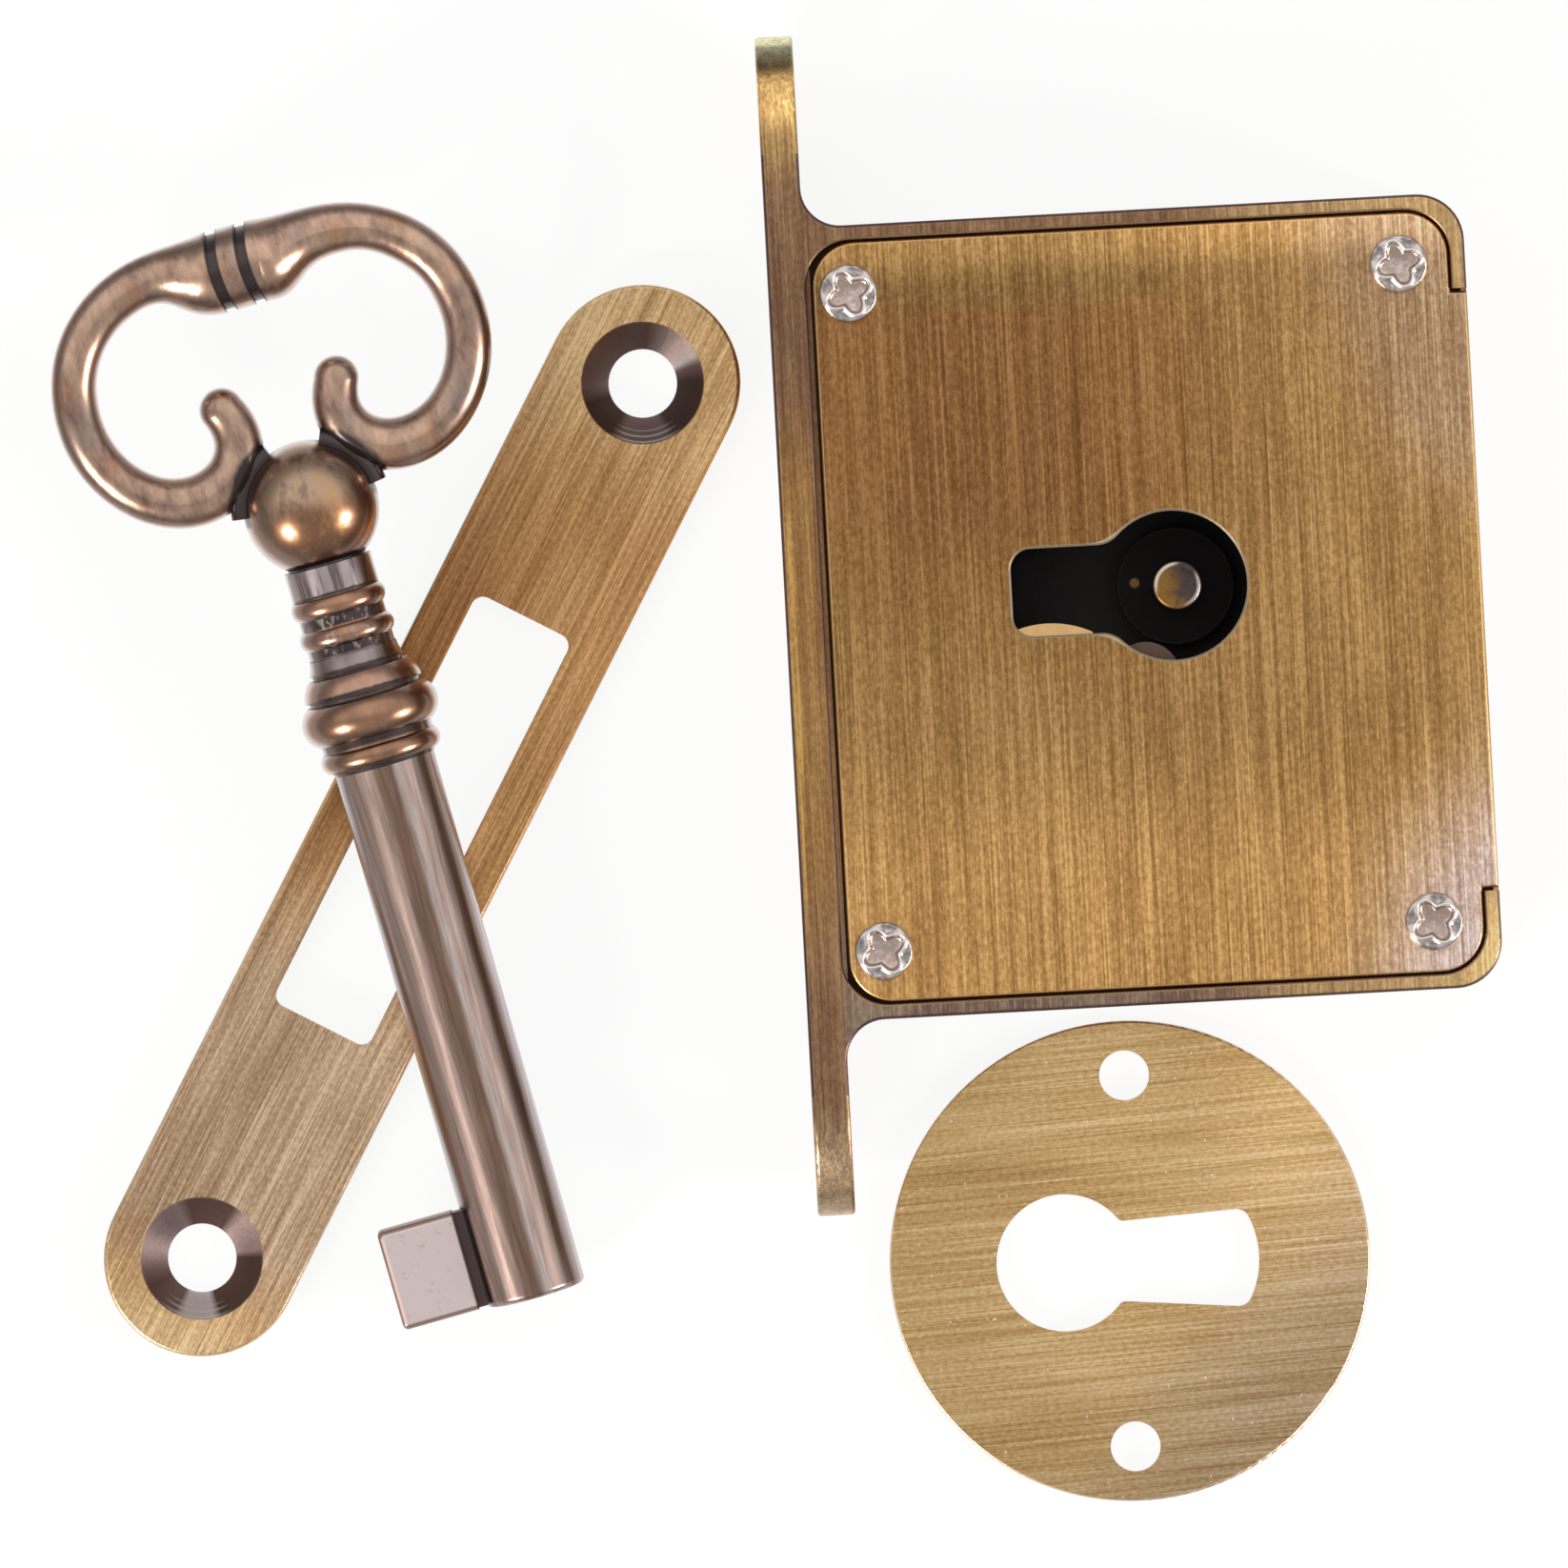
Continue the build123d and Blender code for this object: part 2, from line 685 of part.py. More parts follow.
web_inner = 3.6
web_outer = 5.15
web_thick = 2.6
web_round = 0.8
web_from = 22.0                 # angle off the key's axis
web_angle = 61.0


def bow_loop(shift):
    # shift moves the thick end of the bar along the knuckle.
    rows = []
    for number, (along, across, radius) in enumerate(bow_bar):
        moved = across + shift if number < knuckle_rows else across
        rows.append((Vector(along, moved, 0), radius))
    line = Spline(
        *[centre for centre, radius in rows],
        tangents=[(0, 1, 0), (-0.95, 0.3, 0)],
        tangent_scalars=(1, 1),
    )
    rings = []
    for centre, radius in rows:
        where = line.param_at_point(centre)
        rings.append(Plane(origin=centre, z_dir=line % where) * Circle(radius))
    tip, tip_radius = rows[-1]
    end = Plane(origin=tip, z_dir=line % 1)
    dome = end.location * Sphere(tip_radius, arc_size1=0, align=Align.NONE)
    return loft(rings) + dome


def knuckle_cutters():
    # Two grooves round the knuckle, each bent a little like a bracket.
    along, across, radius = bow_bar[0]
    core = Rot(90, 0, 0) * Cylinder(radius - knuckle_groove_depth, 4 * across)
    cutters = []
    for place in knuckle_grooves:
        outer = knuckle_groove_curve + knuckle_groove_width / 2
        bend = Cylinder(outer, 4 * radius)
        bend -= Cylinder(outer - knuckle_groove_width, 4 * radius)
        bend = Pos(0, place + knuckle_groove_curve, 0) * bend
        near = Pos(0, place, 0) * Box(2.6 * radius, 3, 4 * radius)
        cutters.append(Pos(along, 0, 0) * ((bend & near) - core))
    return cutters


def bow_webs():
    # Thin webs that join the scrolls to the ball.
    middle = (web_inner + web_outer) / 2
    section = Plane.XZ * Pos(middle, 0) * RectangleRounded(
        web_outer - web_inner, web_thick, web_round * 0.95
    )
    web = revolve(section, Axis.Z, web_angle)
    webs = []
    for way in (-1, 1):
        start = 180 - way * web_from - (web_angle if way > 0 else 0)
        webs.append(Rot(0, 0, start) * web)
    return webs


def make_key_bow():
    right = bow_loop(-knuckle_shift)
    left = mirror(bow_loop(knuckle_shift), Plane.XZ)
    along, across, radius = bow_bar[0]
    bow = Pos(along, -knuckle_shift, 0) * Rot(90, 0, 0) * Cylinder(radius, 2 * across)
    bow += right
    bow += left
    bow -= knuckle_cutters()
    bow += bow_webs()
    bow += Sphere(ball_diameter / 2)
    bow += turned_neck()
    return key_pose() * bow


def make_key_shank():
    radius = shank_diameter / 2
    length = key_tip - shank_start
    shank = Pos(shank_start, 0, 0) * Rot(0, 90, 0) * Cylinder(
        radius, length, align=(Align.CENTER, Align.CENTER, Align.MIN)
    )
    shank = fillet(shank.faces().sort_by(Axis.X)[-1].edges(), shank_end_round)
    socket = spigot_diameter / 2 + running_clearance / 2
    shank -= Pos(shank_start, 0, 0) * Rot(0, 90, 0) * Cylinder(
        socket, spigot_length + running_clearance, align=(Align.CENTER, Align.CENTER, Align.MIN)
    )
    shank -= Pos(key_tip - shank_bore_depth, 0, 0) * Rot(0, 90, 0) * Cylinder(
        shank_bore / 2, shank_bore_depth, align=(Align.CENTER, Align.CENTER, Align.MIN)
    )
    return key_pose() * shank


def make_key_bit():
    # Flat bit brazed to the shank by a thinner neck.
    radius = shank_diameter / 2
    low = key_tip - bit_end_gap - bit_height
    high = key_tip - bit_end_gap
    neck_end = radius + bit_neck_length
    blade = Pos((low + high) / 2, -(neck_end + bit_radius) / 2, 0) * Box(
        bit_height, bit_radius - neck_end, bit_thick
    )
    blade = fillet(blade.edges().filter_by(Axis.Y), bit_edge_round)
    blade = fillet(blade.faces().sort_by(Axis.Y)[0].edges(), bit_edge_round * 0.9)
    neck = Pos((low + high) / 2, -(radius / 2 + neck_end) / 2, 0) * Box(
        bit_height - 0.2, neck_end - radius / 2 + 0.2, bit_neck_thick
    )
    bit = blade + neck
    bit -= Pos(key_tip / 2, 0, 0) * Rot(0, 90, 0) * Cylinder(radius, 2 * key_tip)
    return key_pose() * bit


def main():
    os.makedirs("parts", exist_ok=True)
    makers = {
        "case": make_case,
        "cover": make_cover,
        "cover_screws": make_cover_screws,
        "key_pin": make_key_pin,
        "guide_post": make_guide_post,
        "lever_post": make_lever_post,
        "bolt": make_bolt,
        "lever": make_lever,
        "lever_spring": make_lever_spring,
        "strike_plate": make_strike_plate,
        "keyhole_plate": make_keyhole_plate,
        "key_bow": make_key_bow,
        "key_shank": make_key_shank,
        "key_bit": make_key_bit,
    }
    for name, make in makers.items():
        export_step(make(), f"parts/{name}.step")
        print(name)


main()
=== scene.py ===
import bmesh
import bpy
import math
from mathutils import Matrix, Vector


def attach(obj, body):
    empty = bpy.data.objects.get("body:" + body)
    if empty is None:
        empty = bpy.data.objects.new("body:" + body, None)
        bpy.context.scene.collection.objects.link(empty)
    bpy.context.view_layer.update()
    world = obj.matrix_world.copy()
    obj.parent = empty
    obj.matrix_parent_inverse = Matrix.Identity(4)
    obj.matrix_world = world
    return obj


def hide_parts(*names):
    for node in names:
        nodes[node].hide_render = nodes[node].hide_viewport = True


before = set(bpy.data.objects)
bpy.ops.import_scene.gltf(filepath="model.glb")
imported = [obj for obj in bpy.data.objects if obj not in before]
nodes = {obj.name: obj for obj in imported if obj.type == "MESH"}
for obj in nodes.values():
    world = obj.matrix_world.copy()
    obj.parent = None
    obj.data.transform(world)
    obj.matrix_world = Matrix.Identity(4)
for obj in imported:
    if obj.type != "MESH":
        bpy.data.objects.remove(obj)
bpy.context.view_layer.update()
print("frame loaded:", len(nodes), "nodes")

# a Mix node's inputs for numbers and for colours share the names A and B, so they go by number
numberA, numberB, colourA, colourB, colourOut = 2, 3, 6, 7, 2


def toLinear(hexColour):
    # "#RRGGBB" as sRGB to the linear colour that Blender's sockets take
    parts = [int(hexColour[i:i + 2], 16) / 255 for i in (1, 3, 5)]
    return [c / 12.92 if c <= 0.04045 else ((c + 0.055) / 1.055) ** 2.4 for c in parts] + [1.0]


def addNode(tree, kind, inputs=None, **settings):
    # one node, with its settings, and each input either linked or set
    node = tree.nodes.new(kind)
    for name, value in settings.items():
        setattr(node, name, value)
    for socket, value in (inputs or {}).items():
        if isinstance(value, bpy.types.NodeSocket):
            tree.links.new(value, node.inputs[socket])
        else:
            node.inputs[socket].default_value = value
    return node


def setRamp(node, stops):
    # colour ramp stops: place and hex colour
    ramp = node.color_ramp
    while len(ramp.elements) < len(stops):
        ramp.elements.new(0.5)
    for element, (place, colour) in zip(ramp.elements, stops):
        element.position = place
        element.color = toLinear(colour)
    return node.outputs["Color"]


def newMaterial(name):
    material = bpy.data.materials.new(name)
    material.use_nodes = True
    tree = material.node_tree
    tree.nodes.clear()
    shader = addNode(tree, "ShaderNodeBsdfPrincipled")
    addNode(tree, "ShaderNodeOutputMaterial", {"Surface": shader.outputs[0]})
    return material, tree, shader


def finishMetal(tree, shader, colour, roughness, bump=None):
    # bare metal: its colour, how rough it is as a number or a socket, and its relief
    shader.inputs["Metallic"].default_value = 1.0
    tree.links.new(colour, shader.inputs["Base Color"])
    if isinstance(roughness, bpy.types.NodeSocket):
        tree.links.new(roughness, shader.inputs["Roughness"])
    else:
        shader.inputs["Roughness"].default_value = roughness
    if bump:
        tree.links.new(bump.outputs[0], shader.inputs["Normal"])


def grainNoise(tree, place, width, length, detail=2.0, roughness=0.5):
    # noise stretched along Y of place; width and length in millimetres
    scaled = addNode(tree, "ShaderNodeVectorMath", {
        0: place, 1: (1 / width, 1 / length, 1 / width),
    }, operation="MULTIPLY")
    noise = addNode(tree, "ShaderNodeTexNoise", {
        "Vector": scaled.outputs[0], "Scale": 1.0, "Detail": detail, "Roughness": roughness,
    })
    return noise.outputs["Fac"]


def swung(tree, value, swing, start):
    # start, plus a noise's value times swing
    moved = addNode(tree, "ShaderNodeMath", {0: value, 1: swing, 2: start}, operation="MULTIPLY_ADD")
    return moved.outputs[0]


def weighted(tree, terms):
    # 0.5 plus each noise's swing about its middle, times its weight
    total = 0.5
    for value, weight in terms:
        shifted = addNode(tree, "ShaderNodeMath", {
            0: swung(tree, value, weight, total), 1: 0.5 * weight,
        }, operation="SUBTRACT")
        total = shifted.outputs[0]
    return total


def turnedPlace(tree, centre, angle):
    # millimetres in a frame at centre, whose Y runs along the grain
    where = addNode(tree, "ShaderNodeTexCoord")
    turned = addNode(tree, "ShaderNodeMapping", {
        "Vector": where.outputs["Object"],
        "Location": [c / 1000 for c in centre],
        "Rotation": (0, 0, math.radians(angle)),
        "Scale": (0.001, 0.001, 0.001),
    }, vector_type="TEXTURE")
    return turned.outputs[0]


def fade(tree, value, start, end):
    # mask that goes from 0 to 1 while value goes from start to end
    mapped = addNode(tree, "ShaderNodeMapRange", {
        "Value": value, "From Min": start, "From Max": end,
    }, interpolation_type="SMOOTHSTEP")
    return mapped.outputs[0]


def allOf(tree, masks):
    # product of masks
    total = masks[0]
    for mask in masks[1:]:
        both = addNode(tree, "ShaderNodeMath", {0: total, 1: mask}, operation="MULTIPLY")
        total = both.outputs[0]
    return total


def layered(tree, base, layers):
    # lays each colour over the last by its mask; a colour is a hex text or a socket
    for mask, colour in layers:
        over = toLinear(colour) if isinstance(colour, str) else colour
        mixed = addNode(tree, "ShaderNodeMix", {
            "Factor": mask, colourA: base, colourB: over,
        }, data_type="RGBA")
        base = mixed.outputs[colourOut]
    return base


def uprightness(tree):
    # height of the surface's normal: 1 on a face that lies flat, 0 on a wall
    shape = addNode(tree, "ShaderNodeTexCoord")
    split = addNode(tree, "ShaderNodeSeparateXYZ", {0: shape.outputs["Normal"]})
    return split.outputs["Z"]


edgeTilt = (0.985, 0.93)   # normal's height where an edge starts, and where it is a full one


def tilt(tree):
    # 1 where a surface faces away from straight up: edges, bevels and walls
    return fade(tree, uprightness(tree), *edgeTilt)


def distanceFrom(tree, place, centre):
    # millimetres from a point, seen from above
    flat = addNode(tree, "ShaderNodeVectorMath", {0: place, 1: (1.0, 1.0, 0.0)}, operation="MULTIPLY")
    gap = addNode(tree, "ShaderNodeVectorMath", {
        0: flat.outputs[0], 1: (centre[0], centre[1], 0.0),
    }, operation="DISTANCE")
    return gap.outputs["Value"]


def zone(tree, place, share, *sides):
    # Share inside a soft-edged region. A side is (X share, Y share, from, to): its mask rises
    # while the place along that direction goes from one to the other, in millimetres.
    masks = [share]
    for alongX, alongY, start, end in sides:
        along = addNode(tree, "ShaderNodeVectorMath", {
            0: place, 1: (alongX, alongY, 0.0),
        }, operation="DOT_PRODUCT")
        masks.append(fade(tree, along.outputs["Value"], start, end))
    return allOf(tree, masks)


def paint(name, material):
    # gives a CAD node its finish
    mesh = nodes[name].data
    mesh.materials.clear()
    mesh.materials.append(material)


# camera and light

camera = {
    "centre": (-25.68, -11.3),   # mm, where the middle of the picture falls
    "height": 1500.0,
    "roll": -3.1,
    "lens": 536.8, "sensor": 36.0,
    "near": 0.05, "far": 20.0,   # metres
}
middle = (camera["centre"][0] / 1000, camera["centre"][1] / 1000, 0)
cameraData = bpy.data.cameras.new("photoCamera")
cameraData.lens = camera["lens"]
cameraData.sensor_width = camera["sensor"]
cameraData.clip_start = camera["near"]
cameraData.clip_end = camera["far"]
cameraObject = bpy.data.objects.new("photoCamera", cameraData)
cameraObject.location = (middle[0], middle[1], camera["height"] / 1000)
cameraObject.rotation_euler = (0, 0, math.radians(camera["roll"]))
bpy.context.scene.collection.objects.link(cameraObject)
bpy.context.scene.camera = cameraObject
bpy.context.scene.view_settings.view_transform = "Standard"

lamps = {
    # name: place in metres, size in metres, power in watts, colour
    "lowLeftBox": ((-0.52, -0.46, 0.40), (0.24, 0.24), 3.8, "#FFFCF6"),
    "lowRightBox": ((0.60, -0.23, 0.34), (0.21, 0.21), 3.4, "#FFFCF6"),
}


def addLamp(name, place, size, power, colour):
    lamp = bpy.data.lights.new(name, "AREA")
    lamp.shape = "RECTANGLE"
    lamp.size, lamp.size_y = size
    lamp.energy = power
    lamp.color = toLinear(colour)[:3]
    holder = bpy.data.objects.new(name, lamp)
    holder.location = place
    aim = Vector(middle) - Vector(place)
    holder.rotation_euler = aim.to_track_quat("-Z", "Y").to_euler()
    bpy.context.scene.collection.objects.link(holder)


for lampName, lampValues in lamps.items():
    addLamp(lampName, *lampValues)

surroundings = {
    # light from each side of the studio, as plain levels
    "upper": 1.0, "lower": 0.55, "turn": (-0.16, 0.22),
    "level": 0.42, "levelFrom": 0.30, "levelTo": 0.55,   # what comes in nearly level, and up to where
    "background": "#FFFFFF",
}


def makeSurroundings():
    look = surroundings
    world = bpy.data.worlds.new("paleStudio")
    bpy.context.scene.world = world
    world.use_nodes = True
    tree = world.node_tree
    tree.nodes.clear()
    where = addNode(tree, "ShaderNodeTexCoord")
    split = addNode(tree, "ShaderNodeSeparateXYZ", {0: where.outputs["Generated"]})
    side = addNode(tree, "ShaderNodeMapRange", {
        "Value": split.outputs["Y"], "From Min": look["turn"][0], "From Max": look["turn"][1],
        "To Min": look["lower"], "To Max": look["upper"],
    }, interpolation_type="SMOOTHSTEP")
    shade = addNode(tree, "ShaderNodeMix", {
        "Factor": fade(tree, split.outputs["Z"], look["levelFrom"], look["levelTo"]),
        numberA: look["level"], numberB: side.outputs[0],
    })
    lit = addNode(tree, "ShaderNodeBackground", {"Color": (1, 1, 1, 1), "Strength": shade.outputs[0]})
    seen = addNode(tree, "ShaderNodeBackground", {
        "Color": toLinear(look["background"]), "Strength": 1.0,
    })
    path = addNode(tree, "ShaderNodeLightPath")
    mixed = addNode(tree, "ShaderNodeMixShader", {
        0: path.outputs["Is Camera Ray"], 1: lit.outputs[0], 2: seen.outputs[0],
    })
    addNode(tree, "ShaderNodeOutputWorld", {"Surface": mixed.outputs[0]})


makeSurroundings()

floorLook = {
    "colour": "#F4F4F4", "shadowShare": 0.1, "halfSize": 3.0, "drop": 0.0001,
    # what the metal mirrors: white paper out to here, in metres from the middle, then a darker level
    "paperNear": 0.055, "paperFar": 0.085, "beyond": 0.4,
}


def makeFloor():
    # pale paper: mostly its own white, the rest takes the shadow
    look = floorLook
    mesh = bpy.data.meshes.new("paperFloor")
    corners = [(x * look["halfSize"], y * look["halfSize"], -look["drop"]) for x, y in (
        (-1, -1), (1, -1), (1, 1), (-1, 1),
    )]
    mesh.from_pydata(corners, [], [(0, 1, 2, 3)])
    floor = bpy.data.objects.new("paperFloor", mesh)
    bpy.context.scene.collection.objects.link(floor)
    material = bpy.data.materials.new("whitePaper")
    material.use_nodes = True
    tree = material.node_tree
    tree.nodes.clear()
    paper = addNode(tree, "ShaderNodeBsdfDiffuse", {"Color": toLinear(look["colour"])})
    path = addNode(tree, "ShaderNodeLightPath")
    where = addNode(tree, "ShaderNodeNewGeometry")
    gap = addNode(tree, "ShaderNodeVectorMath", {
        0: where.outputs["Position"], 1: middle,
    }, operation="DISTANCE")
    near = fade(tree, gap.outputs["Value"], look["paperFar"], look["paperNear"])
    mirrored = addNode(tree, "ShaderNodeMix", {"Factor": near, numberA: look["beyond"], numberB: 1.0})
    level = addNode(tree, "ShaderNodeMix", {
        "Factor": path.outputs["Is Camera Ray"], numberA: mirrored.outputs[0], numberB: 1.0,
    })
    white = addNode(tree, "ShaderNodeEmission", {"Color": (1, 1, 1, 1), "Strength": level.outputs[0]})
    direct = addNode(tree, "ShaderNodeMath", {
        0: path.outputs["Is Camera Ray"], 1: path.outputs["Is Glossy Ray"],
    }, operation="MAXIMUM")
    mixed = addNode(tree, "ShaderNodeMixShader", {
        0: allOf(tree, [direct.outputs[0], 1 - look["shadowShare"]]),
        1: paper.outputs[0], 2: white.outputs[0],
    })
    addNode(tree, "ShaderNodeOutputMaterial", {"Surface": mixed.outputs[0]})
    mesh.materials.append(material)


makeFloor()
print("camera, lamps and floor ready")


# brushed brass with a darkened finish: cover, striking plate, keyhole plate and case

# A noise is given as its width and length in millimetres, its detail and its roughness. Real
# hairlines are about 0.03 mm wide, and are drawn coarser so that they show.
brushing = {
    "hairWidth": 0.12, "hairDetail": (2.0, 0.6),
    "grit": (0.2, 0.36, 1.0, 0.6), "band": (0.55, 24.0, 1.5), "cloud": (5.0, 12.0, 2.0),
    "darkAt": 0.25, "lightAt": 0.75, "roughSwing": 0.16, "bumpDepth": 0.03,
}


def makeBrushedBrass(name, look):
    # brushed brass: hairlines all one way, which draw its highlights out into soft streaks.
    # A look's tints change its colour in zones, partly the finish's own tone and partly painted
    # light and reflections; its levels are painted light and shade, and its edges a painted highlight.
    material, tree, shader = newMaterial(name)
    place = turnedPlace(tree, look["centre"], look["angle"])
    fine = grainNoise(tree, place, brushing["hairWidth"], look["length"], *brushing["hairDetail"])
    tone = weighted(tree, [
        (fine, look["streak"]),
        (grainNoise(tree, place, *brushing["grit"]), look["grit"]),
        (grainNoise(tree, place, *brushing["band"]), look["bands"]),
        (grainNoise(tree, place, *brushing["cloud"]), look["cloud"]),
    ])
    ramp = addNode(tree, "ShaderNodeValToRGB", {0: tone})
    colour = setRamp(ramp, [
        (brushing["darkAt"], look["dark"]), (0.5, look["middle"]), (brushing["lightAt"], look["light"]),
    ])
    # tints: partly the finish's own tone, partly painted light and reflections
    for tint, share, *sides in look["tints"]:
        # multiplied, so that the texture stays
        ratio = [new / old for new, old in zip(toLinear(tint), toLinear(look["middle"]))]
        times = addNode(tree, "ShaderNodeMix", {
            "Factor": zone(tree, place, share, *sides), colourA: (1, 1, 1, 1), colourB: ratio,
        }, data_type="RGBA", clamp_result=False)
        tinted = addNode(tree, "ShaderNodeVectorMath", {
            0: colour, 1: times.outputs[colourOut],
        }, operation="MULTIPLY")
        colour = tinted.outputs[0]
    # painted light and shade: brightness raised or lowered in zones
    for factor, *sides in look["levels"]:
        level = addNode(tree, "ShaderNodeMath", {
            0: zone(tree, place, factor - 1, *sides), 1: 1.0,
        }, operation="ADD")
        levelled = addNode(tree, "ShaderNodeVectorMath", {
            0: colour, "Scale": level.outputs[0],
        }, operation="SCALE")
        colour = levelled.outputs[0]
    # painted highlight along edges and bevels
    colour = layered(tree, colour, [(allOf(tree, [tilt(tree), look["edgeShare"]]), look["edge"])])
    swing = brushing["roughSwing"]
    bump = addNode(tree, "ShaderNodeBump", {
        "Height": fine, "Strength": look["bump"], "Distance": brushing["bumpDepth"] / 1000,
    })
    finishMetal(tree, shader, colour, swung(tree, fine, swing, look["roughness"] - swing / 2), bump)
    return material, tree, shader, place, colour


coverLook = {
    "centre": (0.0, -1.3, 0.0), "angle": 0.0,
    "dark": "#8B6539", "middle": "#AE8450", "light": "#D3A96D",
    "streak": 1.0, "grit": 0.6, "bands": 0.35, "cloud": 0.22, "length": 13.0,
    # edge is the painted highlight on edges and bevels
    "edge": "#DDB985", "edgeShare": 0.6, "roughness": 0.34, "bump": 0.2,
    # tints and levels: darker and warmer to the upper left, paler and greyer to the lower right,
    # brightest along the top edge; partly the finish's own tone, partly painted light and shade
    "tints": [
        ("#B17A4A", 0.8, (1, 0, 9, -6), (0, 1, -4, 9), (0, 1, 21, 18.5)),
        ("#B89A78", 0.7, (1, 0, 8, 17), (0, 1, -9, -19)),
        ("#B99A80", 0.55, (1, 0.35, 14, 22), (0, 1, 2, 12)),
        ("#BCA08A", 0.5, (1, -0.6, 20, 32)),
    ],
    "levels": [
        (0.68, (1, 0, 9, -9), (0, 1, -12, 8)),
        (1.42, (0, 1, -6, -18)),
        (1.08, (1, 0, 4, 16)),
        (1.75, (0, 1, 20.8, 23.6)),
    ],
    # the keyhole's outline, in millimetres from the look's centre
    "roundAt": (-0.3, 1.3), "roundRadius": 4.75,
    "slotAt": (-5.425, 1.3), "slotHalf": (5.125, 2.8), "slotCorner": 1.3, "throat": 1.6,
    # painted highlight along the keyhole's punched edge
    "holeEdge": "#E4D6BE", "holeEdgeShare": 0.6, "holeEdgeWidth": 0.13, "holeEdgeSoft": 0.05,
}


def makeCoverBrass():
    # a painted highlight runs along the punched edge of the keyhole
    look = coverLook
    material, tree, shader, place, colour = makeBrushedBrass("brushedBrassCover", look)
    toRound = addNode(tree, "ShaderNodeMath", {
        0: distanceFrom(tree, place, look["roundAt"]), 1: look["roundRadius"],
    }, operation="SUBTRACT")
    # from the slot: how far past its inner rectangle, less the radius of its corners
    steps = [
        ("MULTIPLY", (1.0, 1.0, 0.0)), ("SUBTRACT", (*look["slotAt"], 0.0)), ("ABSOLUTE", None),
        ("SUBTRACT", [half - look["slotCorner"] for half in look["slotHalf"]] + [0.0]),
        ("MAXIMUM", (0.0, 0.0, 0.0)),
    ]
    past = place
    for operation, other in steps:
        inputs = {0: past} if other is None else {0: past, 1: other}
        past = addNode(tree, "ShaderNodeVectorMath", inputs, operation=operation).outputs[0]
    length = addNode(tree, "ShaderNodeVectorMath", {0: past}, operation="LENGTH")
    toSlot = addNode(tree, "ShaderNodeMath", {
        0: length.outputs["Value"], 1: look["slotCorner"],
    }, operation="SUBTRACT")
    gap = addNode(tree, "ShaderNodeMath", {
        0: toRound.outputs[0], 1: toSlot.outputs[0], 2: look["throat"],
    }, operation="SMOOTH_MIN")
    width, soft = look["holeEdgeWidth"], look["holeEdgeSoft"]
    # painted highlight: a pale line along the keyhole's edge
    line = allOf(tree, [fade(tree, gap.outputs[0], width + soft, width - soft), look["holeEdgeShare"]])
    tree.links.new(layered(tree, colour, [(line, look["holeEdge"])]), shader.inputs["Base Color"])
    return material


strikeLook = {
    "centre": (-48.96, -12.39, 0.0), "angle": 60.16 - 90,
    "dark": "#94693F", "middle": "#B78959", "light": "#DBAC76",
    "streak": 0.9, "grit": 0.5, "bands": 0.45, "cloud": 0.45, "length": 8.0,
    # edge is the painted highlight on edges; the tints and levels are partly the finish's own tone,
    # partly painted light and shade
    "edge": "#DFC9A8", "edgeShare": 0.4, "roughness": 0.34, "bump": 0.2,
    "tints": [
        ("#DDB988", 0.65, (0, 1, 21, 33)),
        ("#A06C42", 0.7, (1, 0, 3, -4), (0, 1, 21, 14), (0, 1, -4, 4)),
        ("#C2A68A", 0.75, (0, 1, -2, -16), (0, 1, -35, -29)),
        ("#E2BE8E", 0.8, (0, 1, -31, -37)),
    ],
    "levels": [(0.80, (1, 0, 0, -6), (0, 1, -8, 4)), (1.15, (1, 0, 0, 6))],
    "holeSpacing": 62.8, "countersink": 7.9, "coneFrom": 0.05, "coneTo": 0.12,
    # tones of the painted shade and reflections round the countersinks
    "deep": "#57463F", "umber": "#6A534B", "dull": "#8B7773",
    "pale": "#A18D8A", "rose": "#CBB0AA", "glint": "#ECE1DF",
    # for each hole: which end, where its turned rings show, and the painted shade and reflections
    # round its countersink, by angle from the grain's right in degrees
    "cones": [
        (-1, -70, [
            (-180, "pale"), (-148, "dull"), (-124, "umber"), (-90, "dull"), (-82, "glint"),
            (-52, "glint"), (-44, "umber"), (28, "umber"), (36, "rose"), (70, "rose"),
            (84, "umber"), (130, "umber"), (142, "pale"), (180, "pale"),
        ]),
        (1, -60, [
            (-180, "dull"), (-150, "pale"), (-132, "deep"), (-96, "deep"), (-84, "dull"),
            (-40, "dull"), (-30, "deep"), (30, "deep"), (46, "dull"), (54, "glint"),
            (68, "rose"), (84, "pale"), (112, "umber"), (180, "dull"),
        ]),
    ],
    # painted highlights on a few turned rings
    "ring": "#FFFFFF", "ringShare": 0.5, "ringPitch": 0.3696, "ringSharp": (0.2, 0.9),
    "ringArc": (0.11, 0.05),    # shares of a turn from its middle where it starts, and where it is full
    "ringOutside": (2.9, 3.2),  # mm from the hole's centre
}


